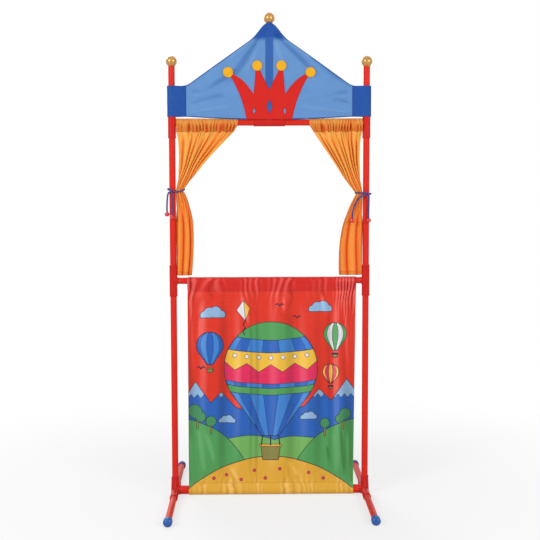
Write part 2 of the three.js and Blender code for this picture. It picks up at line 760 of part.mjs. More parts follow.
// Tie cords: each starts at one bead, goes once round the post and the curtain, and ends at a second bead.
const leftTieRoute = [
  [-301.5, -6, 852.4], [-301.2, -6, 875], [-300, -6.3, 893], [-298.3, -8, 903], [-294.6, -11.4, 909],
  [-285, -13.6, 912], [-275, -13, 911], [-265, -12, 911.5], [-256.5, -10, 914.5], [-251.2, -5.5, 917],
  [-250, 0, 918], [-251.2, 5.5, 917.5], [-257, 10, 916], [-271, 12.6, 915], [-285, 13.6, 914.5],
  [-294.8, 9.8, 916], [-298.9, 0, 918], [-296.5, -9, 919.5], [-291, -16, 919], [-287.5, -19.4, 912.5],
  [-286, -18.4, 904], [-285.7, -16, 893], [-285.6, -15, 875], [-286, -16, 856], [-286, -17, 844.4],
];
const rightTieRoute = [
  [243, -18, 833.4], [244, -17.5, 850], [249, -16.5, 868], [257, -15.5, 884], [266, -15, 894],
  [274, -15.5, 898.5], [281, -16, 900], [289.5, -13.8, 901.5], [296, -8.7, 903], [298.9, 0, 904.5],
  [294.8, 9.8, 905], [285, 13.6, 904.5], [271, 12.6, 904.5], [260, 10, 905], [254.4, 5.5, 906],
  [253.4, 0, 906.5], [254.4, -5.5, 907], [260, -11.5, 907], [271, -13.8, 906.5], [281, -16.5, 907.5],
  [288, -19.5, 905], [291, -20, 897], [291.5, -17, 886], [291.3, -15.5, 865], [291, -16, 845],
  [291, -16.8, 833.4],
];

function tieCord(route) {
  const path = new THREE.CatmullRomCurve3(route.map((place) => new THREE.Vector3(...place)));
  const section = new THREE.Shape();
  for (let i = 0; i < cordSides; i += 1) {
    const angle = (2 * halfTurn * i) / cordSides;
    const corner = [Math.cos(angle) * tieCordDiameter / 2, Math.sin(angle) * tieCordDiameter / 2];
    if (i === 0) {
      section.moveTo(...corner);
    } else {
      section.lineTo(...corner);
    }
  }
  section.closePath();
  return new THREE.ExtrudeGeometry(section, { steps: cordSteps, extrudePath: path, bevelEnabled: false });
}

function addTie(sideName, route) {
  addPiece(`${sideName}_tie_cord`, tieCord(route), blueCord);
  const ends = [['first', route[0]], ['second', route[route.length - 1]]];
  for (const [endName, [x, y, z]] of ends) {
    const bead = new THREE.SphereGeometry(beadDiameter / 2, beadSides, beadRings);
    bead.rotateX(quarterTurn);
    addPiece(`${sideName}_tie_${endName}_bead`, bead, redBead, x, y, z - beadDiameter / 2 - fitGap);
  }
}

addTie('left', leftTieRoute);
addTie('right', rightTieRoute);

export default stand;
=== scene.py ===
import math

import bmesh
import bpy
import numpy as np
from mathutils import Matrix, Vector
from mathutils.geometry import delaunay_2d_cdt


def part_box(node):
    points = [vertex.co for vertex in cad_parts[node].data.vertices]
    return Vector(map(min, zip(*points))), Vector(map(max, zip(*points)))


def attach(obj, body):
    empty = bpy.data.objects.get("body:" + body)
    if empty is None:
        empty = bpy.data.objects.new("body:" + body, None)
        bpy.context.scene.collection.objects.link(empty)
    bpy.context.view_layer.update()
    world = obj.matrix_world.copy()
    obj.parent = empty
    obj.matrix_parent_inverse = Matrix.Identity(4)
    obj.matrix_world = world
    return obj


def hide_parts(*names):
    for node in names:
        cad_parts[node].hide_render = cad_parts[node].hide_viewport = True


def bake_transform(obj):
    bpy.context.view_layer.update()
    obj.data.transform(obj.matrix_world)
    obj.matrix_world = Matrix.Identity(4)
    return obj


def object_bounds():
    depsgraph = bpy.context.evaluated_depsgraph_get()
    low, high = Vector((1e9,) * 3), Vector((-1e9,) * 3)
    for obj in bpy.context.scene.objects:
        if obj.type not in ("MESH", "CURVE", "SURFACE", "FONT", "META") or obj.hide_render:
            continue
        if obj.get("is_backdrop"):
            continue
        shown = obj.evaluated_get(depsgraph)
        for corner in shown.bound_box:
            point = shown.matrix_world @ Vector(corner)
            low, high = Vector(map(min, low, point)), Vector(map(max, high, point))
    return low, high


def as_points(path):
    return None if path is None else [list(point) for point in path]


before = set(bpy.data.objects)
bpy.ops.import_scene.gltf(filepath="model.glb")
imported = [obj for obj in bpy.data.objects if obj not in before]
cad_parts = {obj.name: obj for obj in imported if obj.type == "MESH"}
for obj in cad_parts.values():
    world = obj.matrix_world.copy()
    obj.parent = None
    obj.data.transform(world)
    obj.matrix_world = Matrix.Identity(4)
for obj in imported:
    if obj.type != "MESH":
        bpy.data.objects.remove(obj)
cad_low, cad_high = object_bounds()
chance = np.random.default_rng(7)

# Camera: where the photograph was taken from, as fitted to the ends of the tubes. The lens looks
# slightly down and is turned a little to the right.
CAMERA_PLACE = (-0.0530, -3.000, 0.9228)
CAMERA_YAW = -0.018
CAMERA_PITCH = 0.081
CAMERA_ROLL = -0.002
SENSOR_WIDTH = 36.0
FOCAL_LENGTH = 67.71


def aimed(name, data, place, right, above, back):
    """An object at a place whose own X, Y and Z point right, above and back."""
    obj = bpy.data.objects.new(name, data)
    axes = Matrix([[right[row], above[row], back[row]] for row in range(3)]).to_4x4()
    obj.matrix_world = Matrix.Translation(place) @ axes
    bpy.context.collection.objects.link(obj)
    return obj


camera_data = bpy.data.cameras.new("camera")
camera_data.sensor_width = SENSOR_WIDTH
camera_data.lens = FOCAL_LENGTH
ahead = np.array([-math.sin(CAMERA_YAW) * math.cos(CAMERA_PITCH),
                  math.cos(CAMERA_YAW) * math.cos(CAMERA_PITCH),
                  -math.sin(CAMERA_PITCH)])
across = np.array([math.cos(CAMERA_YAW), math.sin(CAMERA_YAW), 0.0])
upward = np.cross(across, ahead)
right = math.cos(CAMERA_ROLL) * across + math.sin(CAMERA_ROLL) * upward
above = -math.sin(CAMERA_ROLL) * across + math.cos(CAMERA_ROLL) * upward
bpy.context.scene.camera = aimed("camera", camera_data, CAMERA_PLACE, right, above, -ahead)

# Tie cords: soft braided cord, once round the post and the curtain, with a drilled bead on each end.
# The routes are those of the CAD part. Each end runs down through its bead to a small stopper knot.
CORD_RADIUS = 0.0025
CORD_SIDES = 32
BEAD_RADIUS = 0.007
BEAD_HOLE = 1.05 * CORD_RADIUS
BEAD_DROP = 0.0073
KNOT_RADIUS = 0.0036
BRAID_PITCH = 0.011
STEPS_PER_SPAN = 16
LEFT_ROUTE = [
    (-301.5, -6, 852.4), (-301.2, -6, 875), (-300, -6.3, 893), (-298.3, -8, 903), (-294.6, -11.4, 909),
    (-285, -13.6, 912), (-275, -13, 911), (-265, -12, 911.5), (-256.5, -10, 914.5), (-251.2, -5.5, 917),
    (-250, 0, 918), (-251.2, 5.5, 917.5), (-257, 10, 916), (-271, 12.6, 915), (-285, 13.6, 914.5),
    (-294.8, 9.8, 916), (-298.9, 0, 918), (-296.5, -9, 919.5), (-291, -16, 919), (-287.5, -19.4, 912.5),
    (-286, -18.4, 904), (-285.7, -16, 893), (-285.6, -15, 875), (-286, -16, 856), (-286, -17, 844.4)]
RIGHT_ROUTE = [
    (243, -18, 833.4), (244, -17.5, 850), (249, -16.5, 868), (257, -15.5, 884), (266, -15, 894),
    (274, -15.5, 898.5), (281, -16, 900), (289.5, -13.8, 901.5), (296, -8.7, 903), (298.9, 0, 904.5),
    (294.8, 9.8, 905), (285, 13.6, 904.5), (271, 12.6, 904.5), (260, 10, 905), (254.4, 5.5, 906),
    (253.4, 0, 906.5), (254.4, -5.5, 907), (260, -11.5, 907), (271, -13.8, 906.5), (281, -16.5, 907.5),
    (288, -19.5, 905), (291, -20, 897), (291.5, -17, 886), (291.3, -15.5, 865), (291, -16, 845),
    (291, -16.8, 833.4)]


def smooth_path(points, steps):
    """Catmull-Rom curve: each span is half of 2b + (c-a)t + (2a-5b+4c-d)t2 + (3b-a-3c+d)t3."""
    first = 2 * points[0] - points[1]
    last = 2 * points[-1] - points[-2]
    padded = np.vstack([first, points, last])
    a, b, c, d = padded[:-3], padded[1:-2], padded[2:-1], padded[3:]
    t = np.linspace(0, 1, steps, endpoint=False)[:, None, None]
    squares = (2 * a - 5 * b + 4 * c - d) * t**2
    cubes = (3 * b - a - 3 * c + d) * t**3
    spans = 0.5 * (2 * b + (c - a) * t + squares + cubes)
    return np.vstack([spans.transpose(1, 0, 2).reshape(-1, 3), points[-1]])


def arc(radius, start, end, count):
    """Points on a circle: radius x (cos a, sin a), for angles a from start to end."""
    angle = np.linspace(start, end, count)
    return radius * np.stack([np.cos(angle), np.sin(angle)], axis=1)


def mesh_object(name, places, faces, **values):
    """A smooth mesh object of places and faces, with a named attribute for each of the values."""
    mesh = bpy.data.meshes.new(name)
    mesh.from_pydata(places, [], faces)
    for key, value in values.items():
        layer = mesh.attributes.new(key, "FLOAT", "POINT")
        layer.data.foreach_set("value", value.astype(np.float32).ravel())
    mesh.shade_smooth()
    obj = bpy.data.objects.new(name, mesh)
    bpy.context.collection.objects.link(obj)
    return obj


def grid_object(name, places, close_columns=False, **values):
    """Quads over a grid of places (rows, columns, 3), each value spread over all of it."""
    rows, columns = places.shape[:2]
    index = np.arange(rows * columns).reshape(rows, columns)
    if close_columns:
        index = np.hstack([index, index[:, :1]])
    corners = np.stack([index[:-1, :-1], index[:-1, 1:], index[1:, 1:], index[1:, :-1]], axis=-1)
    spread = {key: np.broadcast_to(value, (rows, columns)) for key, value in values.items()}
    return mesh_object(name, places.reshape(-1, 3), corners.reshape(-1, 4), **spread)


def weld(obj):
    """Merges the points that lie together and turns the faces outward."""
    mesh = bmesh.new()
    mesh.from_mesh(obj.data)
    bmesh.ops.remove_doubles(mesh, verts=mesh.verts, dist=1e-6)
    bmesh.ops.recalc_face_normals(mesh, faces=mesh.faces)
    mesh.to_mesh(obj.data)
    mesh.free()
    return obj


def swept(name, path, radii, **values):
    """A closed tube: radii (places by sides) out from the path, on axes carried along without twist."""
    tangent = np.gradient(path, axis=0)
    tangent /= np.linalg.norm(tangent, axis=1, keepdims=True)
    normal = np.empty_like(path)
    axis = np.cross(tangent[0], (0.0, 1.0, 0.0))
    for place, along in enumerate(tangent):
        axis = axis - along * (axis @ along)
        axis = axis / np.linalg.norm(axis)
        normal[place] = axis
    side = np.cross(tangent, normal)
    angle = np.linspace(0, 2 * np.pi, radii.shape[1], endpoint=False)
    spokes = np.cos(angle)[:, None] * normal[:, None] + np.sin(angle)[:, None] * side[:, None]
    rings = path[:, None] + radii[..., None] * spokes
    ends = [np.broadcast_to(path[end], rings[:1].shape) for end in (0, -1)]
    values = {key: np.pad(value, ((1, 1), (0, 0)), mode="edge") for key, value in values.items()}
    return weld(grid_object(name, np.concatenate([ends[0], rings, ends[1]]), True, **values))


def turned(name, profile, centre=(0, 0, 0), axis="Z", sides=48, **values):
    """A profile of (radius, place) pairs turned about an axis through the centre."""
    angle = np.linspace(0, 2 * np.pi, sides, endpoint=False)
    ring = np.stack([profile[:, :1] * np.cos(angle), profile[:, :1] * np.sin(angle),
                     np.repeat(profile[:, 1:], sides, axis=1)], axis=-1)
    order = {"X": [2, 0, 1], "Y": [1, 2, 0], "Z": [0, 1, 2]}[axis]
    obj = weld(grid_object(name, ring[..., order] + np.asarray(centre, float), True, **values))
    obj.data.set_sharp_from_angle(angle=math.radians(38))
    return obj


class Wire:
    """An output of a shader node. Sums, differences, products and shares of wires become Math nodes."""

    def __init__(self, node, output=0):
        """The output of a node, by its number or its name."""
        self.tree = node.id_data
        self.socket = node.outputs[output]

    def __add__(self, other):
        """self + other"""
        return calc("ADD", self, other)

    def __sub__(self, other):
        """self - other"""
        return calc("SUBTRACT", self, other)

    def __rsub__(self, other):
        """other - self"""
        return calc("SUBTRACT", other, self)

    def __mul__(self, other):
        """self x other"""
        return calc("MULTIPLY", self, other)

    def __truediv__(self, other):
        """self / other"""
        return calc("DIVIDE", self, other)

    def __abs__(self):
        """self without its sign"""
        return calc("ABSOLUTE", self)


def add(tree, kind, sockets=None, **settings):
    """Adds one shader node: its settings, then its sockets, each a wire, a colour or a number."""
    node = tree.nodes.new(kind if kind.startswith("NodeGroup") else "ShaderNode" + kind)
    for key, value in settings.items():
        setattr(node, key, value)
    for key, value in (sockets or {}).items():
        socket = node.inputs[key]
        if isinstance(value, Wire):
            tree.links.new(value.socket, socket)
        else:
            socket.default_value = (*value, 1) if socket.type == "RGBA" else value
    return node


def calc(operation, *terms):
    """The result of a Math node for its terms, each a wire or a number."""
    tree = next(term.tree for term in terms if isinstance(term, Wire))
    return Wire(add(tree, "Math", dict(enumerate(terms)), operation=operation))


def between(value, low, high):
    """0 below low and 1 above high, smooth between them."""
    return Wire(add(value.tree, "MapRange", {0: value, 1: low, 2: high}, interpolation_type="SMOOTHSTEP"))


def scaled(value, low, high):
    """A share from 0 to 1 as a number from low to high."""
    return Wire(add(value.tree, "MapRange", {0: value, 3: low, 4: high}))


def mixed(share, below, above):
    """below x (1 - share) + above x share, as colours."""
    return Wire(add(share.tree, "Mix", {0: share, 6: below, 7: above}, data_type="RGBA"), 2)


def noise(vector, scale, detail=3.0, distortion=0.0):
    """Noise from 0 to 1, scale in waves per metre."""
    sockets = {"Vector": vector, "Scale": scale, "Detail": detail, "Distortion": distortion}
    return Wire(add(vector.tree, "TexNoise", sockets))


def own_value(tree, name):
    """A mesh's own attribute of that name."""
    return Wire(add(tree, "Attribute", attribute_name=name), "Fac")


def bump(height, distance):
    """A bumped normal: height 1 stands distance metres proud."""
    return Wire(add(height.tree, "Bump", {"Height": height, "Distance": distance}))


def new_group(name, **kinds):
    """A new shared node group's inputs as wires, each named with its kind: Float, Vector or Color."""
    tree = bpy.data.node_groups.new(name, "ShaderNodeTree")
    for socket, kind in kinds.items():
        tree.interface.new_socket(socket, in_out="INPUT", socket_type="NodeSocket" + kind)
    entry = add(tree, "NodeGroupInput")
    return [Wire(entry, socket) for socket in kinds]


def finished_group(**wires):
    """The node group that the wires are in, with them as its outputs."""
    tree = next(iter(wires.values())).tree
    for socket, wire in wires.items():
        kind = "Color" if wire.socket.type == "RGBA" else "Float"
        tree.interface.new_socket(socket, in_out="OUTPUT", socket_type="NodeSocket" + kind)
    add(tree, "NodeGroupOutput", wires)
    return tree


def effect(group, place, **numbers):
    """A shared group put into a material at a place: its outputs as wires, by name."""
    node = add(place.tree, "Group", {"Vector": place, **numbers}, node_tree=group)
    return {socket.name: Wire(node, socket.name) for socket in node.outputs}


def new_material(name, slot):
    """A material for pieces of one slot, its node tree and the Object coordinates."""
    material = bpy.data.materials.new(name)
    material.use_nodes = True
    material["slot"] = slot
    tree = material.node_tree
    tree.nodes.clear()
    return material, tree, Wire(add(tree, "TexCoord"), "Object")


def surface(tree, sockets, through=None, share=0.0):
    """The Principled BSDF to the output, with a share of light let through in the colour through."""
    shader = Wire(add(tree, "BsdfPrincipled", sockets))
    if through is not None:
        lit = Wire(add(tree, "BsdfTranslucent", {"Color": through}))
        shader = Wire(add(tree, "MixShader", {0: share, 1: shader, 2: lit}))
    add(tree, "OutputMaterial", {"Surface": shader})


def dress(obj, material, body, *nodes):
    """Gives a piece its material, which holds its slot, puts it on its CAD body and hides the nodes it
    stands for.
    """
    obj.data.materials.clear()
    obj.data.materials.append(material)
    if body:
        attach(obj, body)
    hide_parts(*nodes)
    return obj


# Grain: a broad tone from 0 to 1, a fine height from 0 to 1, and sparse small marks.
vector, scale = new_group("surface grain", Vector="Vector", Scale="Float")
grain = finished_group(Tone=noise(vector, scale * 0.03, 4.0), Height=noise(vector, scale, 2.0),
                       Marks=between(noise(vector, scale * 0.3, 6.0), 0.66, 0.72))

cord_blue, tree, place = new_material("braided cord", "tie_cord")
strands = own_value(tree, "braid")
flecks = between(strands, 0.2, 0.7) * between(noise(place, 320.0), 0.5, 0.62)
# Painted shade: the strands are coloured darker where the braid dips into its grooves.
groove_shaded_strands = mixed(between(strands, -0.8, 0.5), (0.012, 0.009, 0.07), (0.045, 0.033, 0.23))
fibre = effect(grain, place, Scale=2600.0)["Height"]
surface(tree, {"Base Color": mixed(flecks, groove_shaded_strands, (0.22, 0.2, 0.52)), "Roughness": 0.78,
               "Sheen Weight": 0.3, "Normal": bump(fibre, 0.0002)})

bead_red, tree, place = new_material("bead", "tie_bead")
speck = effect(grain, place, Scale=900.0)
surface(tree, {"Base Color": mixed(speck["Tone"], (0.5, 0.008, 0.012), (0.72, 0.02, 0.02)),
               "Roughness": scaled(speck["Marks"], 0.16, 0.4), "Coat Weight": 0.4, "Coat Roughness": 0.1,
               "Normal": bump(speck["Height"], 0.00003)})

hole_angle = math.asin(BEAD_HOLE / BEAD_RADIUS)
outside = arc(BEAD_RADIUS, hole_angle - math.pi / 2, math.pi / 2 - hole_angle, 24)
bead_profile = np.vstack([[BEAD_HOLE, 0], outside, [BEAD_HOLE, 0]])
# How far the cord goes on below each end of its route: to the bead's middle, out of it, into the knot.
out_of_bead = 2 * BEAD_DROP - 0.8 * CORD_RADIUS
drops = np.outer([BEAD_DROP, out_of_bead, out_of_bead + 0.4 * KNOT_RADIUS], [0, 0, 1])
for side_name, route in (("left", LEFT_ROUTE), ("right", RIGHT_ROUTE)):
    points = np.array(route) / 1000
    route_to_knots = np.vstack([points[0] - drops[::-1], points, points[-1] - drops])
    line = smooth_path(route_to_knots, STEPS_PER_SPAN)
    travel = np.concatenate([[0], np.cumsum(np.linalg.norm(np.diff(line, axis=0), axis=1))])[:, None]
    angle = np.linspace(0, 2 * np.pi, CORD_SIDES, endpoint=False)
    wind = 2 * np.pi * travel / BRAID_PITCH
    braid = np.cos(4 * angle + wind) * np.cos(4 * angle - wind)
    from_end = np.minimum(travel, travel[-1] - travel)
    knot = np.exp(-((from_end - KNOT_RADIUS) / (0.6 * KNOT_RADIUS))**2)
    end_rounding = np.sqrt(np.clip(from_end / KNOT_RADIUS, 0.02, 1))
    radii = end_rounding * (CORD_RADIUS * (0.95 + 0.05 * braid) + (KNOT_RADIUS - CORD_RADIUS) * knot)
    cord = dress(swept(side_name + "_braided_cord", line, radii, braid=braid), cord_blue, "frame",
                 side_name + "_tie_cord")
    for order, end in (("first", points[0]), ("second", points[-1])):
        bead = turned(f"{side_name}_{order}_drilled_bead", bead_profile, end - drops[0], sides=40)
        dress(bead, bead_red, "frame", f"{side_name}_tie_{order}_bead")
    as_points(line)

# Tubes: satin red powder coat with a fine orange peel, rubbed at the ends where the sleeves slide on,
# and the cut steel showing on the end faces.
TUBE_WALL = 0.0012
TUBE_EDGE = 0.3 * TUBE_WALL
TUBE_SIDES = 56
BAND_LENGTH = 0.006
RUBBED_LENGTH = 0.022
TUBE_NODES = ["left_lower_upright", "left_upper_upright", "left_top_post", "right_lower_upright",
              "right_upper_upright", "right_top_post", "centre_pole", "left_top_rail", "right_top_rail",
              "middle_rail", "bottom_rail", "left_front_foot", "left_rear_foot", "right_front_foot",
              "right_rear_foot"]

coat_red, tree, place = new_material("red powder coat", "tube_red")
peel = effect(grain, place, Scale=700.0)
near_end = own_value(tree, "near_end")
rubbed = between(near_end, 0.3, 0.9) * between(noise(place, 240.0), 0.45, 0.6)
bare = between(near_end, 0.985, 0.995) * between(noise(place, 900.0), 0.4, 0.5)
red = mixed(peel["Tone"], (0.60, 0.018, 0.010), (0.72, 0.026, 0.013))
red = mixed(rubbed * 0.15, red, (0.8, 0.14, 0.1))
surface(tree, {"Base Color": mixed(bare, red, (0.42, 0.41, 0.4)), "Metallic": bare * 0.8,
               "Roughness": scaled(calc("MAXIMUM", peel["Marks"], rubbed), 0.38, 0.54),
               "Specular IOR Level": 0.13, "Normal": bump(peel["Height"], 0.00003)})


def rounded(corners, steps=5):
    """A polyline of (radius, place, fillet) corners. With a and b one fillet away along its two sides,
    a corner becomes the curve (1-t)2 a + 2t(1-t) corner + t2 b."""
    corners = np.asarray(corners, float)
    t = np.linspace(0, 1, steps)[:, None]
    line = [corners[:1, :2]]
    for before, here, after in zip(corners[:-2], corners[1:-1], corners[2:]):
        back = before[:2] - here[:2]
        on = after[:2] - here[:2]
        a = here[:2] + back / np.linalg.norm(back) * here[2]
        b = here[:2] + on / np.linalg.norm(on) * here[2]
        line.append((1 - t)**2 * a + 2 * t * (1 - t) * here[:2] + t**2 * b)
    line.append(corners[-1:, :2])
    return np.vstack(line)


for node in TUBE_NODES:
    low, high = (np.array(corner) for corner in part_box(node))
    extent = high - low
    axis = int(np.argmax(extent))
    length = extent[axis]
    outer = np.delete(extent, axis).min() / 2
    inner = outer - TUBE_WALL
    half_way = outer - TUBE_WALL / 2
    profile = rounded([(half_way, 0, 0), (outer, 0, TUBE_EDGE), (outer, length, TUBE_EDGE),
                       (inner, length, TUBE_EDGE), (inner, 0, TUBE_EDGE), (half_way, 0, 0)], 4)
    # Bands along the outside, so that the rubbed ends can fade.
    bands = np.linspace(0, length, max(12, int(length / BAND_LENGTH)))[1:-1]
    outside = np.stack([np.full(len(bands), outer), bands], axis=1)
    profile = np.vstack([profile[:5], outside, profile[5:]])
    end_gap = np.minimum(profile[:, 1], length - profile[:, 1])
    centre = (low + high) / 2
    centre[axis] = low[axis]
    closeness = np.exp(-end_gap / RUBBED_LENGTH)[:, None]
    tube = turned(node + "_tube", profile, centre, "XYZ"[axis], TUBE_SIDES, near_end=closeness)
    dress(tube, coat_red, "frame", node)

# Tees: moulded sleeves with a beaded lip at each socket, a flared stub and a spigot with two ribs. The
# tubes push on the spigots and into the sockets.
SLEEVE_RADIUS = 0.012
SLEEVE_HALF = 0.046
SOCKET_RADIUS = 0.0098
SOCKET_STOP = 0.006
SOCKET_FILLET = 0.0008
LIP_LENGTH = 0.004
LIP_RISE = 0.0004
LIP_FILLET = 0.0012
MOUTH_FILLET = 0.0006
STUB_END = 0.016
STUB_RADIUS = 0.0095
STUB_FLARE = 0.0016
STUB_DRAFT = 0.0002
SHOULDER_DEPTH = 0.0008
SHOULDER_LENGTH = 0.0005
SPIGOT_RADIUS = 0.008
SPIGOT_LENGTH = 0.03
SPIGOT_TIP = 0.003
TIP_FILLET = 0.002
RIB_RISE = 0.0003
RIB_WIDTH = 0.0012
UPRIGHT_X = 0.285
TOP_RAIL = 1.113
MIDDLE_RAIL = 0.648

plastic_red, tree, place = new_material("moulded red plastic", "connector_red")
pebble = effect(grain, place, Scale=1500.0)
red = mixed(pebble["Tone"], (0.51, 0.010, 0.007), (0.60, 0.016, 0.010))
# Sharp convex edges, found by Pointiness, are mixed toward a paler red.
convex_edge_paling = between(Wire(add(tree, "NewGeometry"), "Pointiness"), 0.52, 0.6) * 0.35
surface(tree, {"Base Color": mixed(convex_edge_paling, red, (0.8, 0.12, 0.09)),
               "Roughness": scaled(pebble["Marks"], 0.40, 0.55), "Specular IOR Level": 0.16,
               "Normal": bump(pebble["Height"], 0.00004)})


def sleeve(name, half, floor, axis="Z"):
    """A sleeve along an axis: a bar with a socket in each end down to the floor, and a beaded lip."""
    lip = SLEEVE_RADIUS - LIP_RISE
    side = [(lip, half - LIP_LENGTH, LIP_RISE), (SLEEVE_RADIUS, half - LIP_LENGTH, LIP_RISE),
            (SLEEVE_RADIUS, half, LIP_FILLET), (SOCKET_RADIUS, half, MOUTH_FILLET),
            (SOCKET_RADIUS, floor, SOCKET_FILLET)]
    mirror = [(radius, -place, fillet) for radius, place, fillet in reversed(side)]
    return turned(name, rounded([(0, -floor, 0)] + mirror + side + [(0, floor, 0)]), axis=axis)


def flare(place, wall):
    """How far a stub flares out: size x exp(-(place - wall) / size) beyond the wall it leaves."""
    return STUB_FLARE * np.exp(-np.clip(place - wall, 0, None) / STUB_FLARE)


def flared_stub(name, radius, spigot, height=0.0):
    """A stub out along X that flares where it leaves the sleeve, then the shoulder for the tube, and a
    spigot with a rounded tip and two low ribs of exp(-(offset / width)2)."""
    end = STUB_END + SPIGOT_LENGTH
    groove = spigot - RIB_RISE
    foot_x = np.linspace(0.2 * SLEEVE_RADIUS, STUB_END - SHOULDER_LENGTH, 24)
    foot = np.stack([radius + flare(foot_x, SLEEVE_RADIUS) - STUB_DRAFT, foot_x], axis=1)
    bar_x = np.linspace(STUB_END, end - SPIGOT_TIP, 60)
    off_ribs = [bar_x - STUB_END - share * SPIGOT_LENGTH for share in (0.3, 0.75)]
    ribs = sum(np.exp(-(offset / RIB_WIDTH)**2) for offset in off_ribs)
    bar = np.stack([groove + RIB_RISE * ribs, bar_x], axis=1)
    tip = rounded([(groove, end - SPIGOT_TIP, 0), (groove, end, TIP_FILLET), (0, end, 0)])
    profile = np.vstack([[0, foot_x[0]], foot, [radius - SHOULDER_DEPTH, STUB_END], bar, tip])
    return turned(name, profile, (0, 0, height), "X")


def joined(base, *parts):
    """The union of closed pieces, kept as the first one."""
    for part in parts:
        union = base.modifiers.new("union", "BOOLEAN")
        union.operation = "UNION"
        union.solver = "EXACT"
        union.object = part
    bpy.context.view_layer.update()
    whole = bpy.data.meshes.new_from_object(base.evaluated_get(bpy.context.evaluated_depsgraph_get()))
    base.modifiers.clear()
    base.data = whole
    for part in parts:
        bpy.data.objects.remove(part)
    whole.set_sharp_from_angle(angle=math.radians(38))
    return base


def mouldings(pattern, *places):
    """Copies of a moulding, each with its mesh turned and moved to its node's place, in red plastic."""
    for node, x, z, rotation in places:
        obj = bpy.data.objects.new(node + "_moulding", pattern.data.copy())
        obj.data.transform(Matrix.Translation((x, 0, z)) @ rotation)
        bpy.context.collection.objects.link(obj)
        dress(obj, plastic_red, "frame", node)
    bpy.data.objects.remove(pattern)


facing_right = Matrix.Identity(4)
facing_left = Matrix.Rotation(math.pi, 4, "Z")
facing_up = Matrix.Rotation(-math.pi / 2, 4, "Y")
tee = joined(sleeve("tee", SLEEVE_HALF, SOCKET_STOP), flared_stub("tee_stub", STUB_RADIUS, SPIGOT_RADIUS))
mouldings(tee, ("left_middle_tee", -UPRIGHT_X, MIDDLE_RAIL, facing_right),
          ("right_middle_tee", UPRIGHT_X, MIDDLE_RAIL, facing_left),
          ("left_top_tee", -UPRIGHT_X, TOP_RAIL, facing_right),
          ("right_top_tee", UPRIGHT_X, TOP_RAIL, facing_left),
          ("centre_tee", 0, TOP_RAIL, facing_up))

# Foot connectors: each is one moulding of the same red plastic, with two foot sleeves, a collar that
# takes the upright, and the spigot of the bottom rail.
FOOT_AXIS = 0.0123
FOOT_HALF = 0.075
FOOT_STOP = 0.014
BOTTOM_RAIL = 0.016
BOTTOM_STUB_RADIUS = 0.013
BOTTOM_SPIGOT_RADIUS = 0.0115
COLLAR_TOP = 0.057 - FOOT_AXIS
COLLAR_STOP = 0.028 - FOOT_AXIS

under_lip = SLEEVE_RADIUS - LIP_RISE
lip_start = COLLAR_TOP - LIP_LENGTH
collar = rounded([(0, 0, 0), (under_lip, 0, 0.0005), (under_lip, lip_start, LIP_RISE),
                  (SLEEVE_RADIUS, lip_start, LIP_RISE), (SLEEVE_RADIUS, COLLAR_TOP, LIP_FILLET),
                  (SOCKET_RADIUS, COLLAR_TOP, MOUTH_FILLET), (SOCKET_RADIUS, COLLAR_STOP, SOCKET_FILLET),
                  (0, COLLAR_STOP, 0)])
on_wall = (collar[:, 0] > SOCKET_RADIUS + SOCKET_FILLET) & (collar[:, 1] < lip_start)
collar[:, 0] += flare(collar[:, 1], under_lip) * on_wall
connector = joined(
    sleeve("foot_connector", FOOT_HALF, FOOT_STOP, "Y"), turned("foot_collar", collar),
    flared_stub("foot_stub", BOTTOM_STUB_RADIUS, BOTTOM_SPIGOT_RADIUS, BOTTOM_RAIL - FOOT_AXIS))
mouldings(connector, ("left_foot_connector", -UPRIGHT_X, FOOT_AXIS, facing_right),
          ("right_foot_connector", UPRIGHT_X, FOOT_AXIS, facing_left))

# Foot caps: moulded blue domed cups with a rolled rim at the open end and a small flat underneath. They
# push on the ends of the foot tubes.
CAP_RADIUS = 0.0128
CAP_LENGTH = 0.024
CAP_DOME = 0.0085
CAP_FLOOR = 0.006
CAP_GROOVE = 0.0004
FOOT_REACH = 0.3


def coordinate(vector, letter):
    """The X, Y or Z of a vector."""
    return Wire(add(vector.tree, "SeparateXYZ", {0: vector}), letter)


plastic_blue, tree, place = new_material("moulded blue plastic", "cap_blue")
pebble = effect(grain, place, Scale=1300.0)
blue = mixed(pebble["Tone"], (0.012, 0.075, 0.30), (0.02, 0.115, 0.42))
dust = (1 - between(coordinate(place, "Z"), 0.001, 0.008)) * 0.3
surface(tree, {"Base Color": mixed(dust, blue, (0.2, 0.2, 0.22)),
               "Roughness": scaled(pebble["Marks"], 0.36, 0.55), "Specular IOR Level": 0.35,
               "Normal": bump(pebble["Height"], 0.00005)})


def set_on_floor(obj):
    """Flattens what reaches below the floor."""
    places = np.empty(3 * len(obj.data.vertices), np.float32)
    obj.data.vertices.foreach_get("co", places)
    places[2::3] = np.maximum(places[2::3], 0)
    obj.data.vertices.foreach_set("co", places)
    obj.data.update()
    return obj


bow = np.linspace(0, math.pi / 2, 14)
dome = np.stack([CAP_RADIUS * np.sin(bow), CAP_DOME * (1 - np.cos(bow))], axis=1)
rim = rounded([(CAP_RADIUS, CAP_DOME, 0), (CAP_RADIUS - CAP_GROOVE, CAP_LENGTH - 0.004, 0.0003),
               (CAP_RADIUS, CAP_LENGTH - 0.0035, 0.0003), (CAP_RADIUS, CAP_LENGTH, 0.001),
               (SOCKET_RADIUS, CAP_LENGTH, 0.0005), (SOCKET_RADIUS, CAP_FLOOR, 0.001), (0, CAP_FLOOR, 0)])
cap_profile = np.vstack([dome, rim[1:]])
for side_name, side in (("left", -1), ("right", 1)):
    for end_name, end in (("front", -1), ("rear", 1)):
        name = f"{side_name}_{end_name}"
        middle = (side * UPRIGHT_X, end * FOOT_REACH, FOOT_AXIS)
        cap = set_on_floor(turned(name + "_cap", cap_profile * [1, -end], middle, "Y"))
        dress(cap, plastic_blue, "frame", name + "_foot_cap")

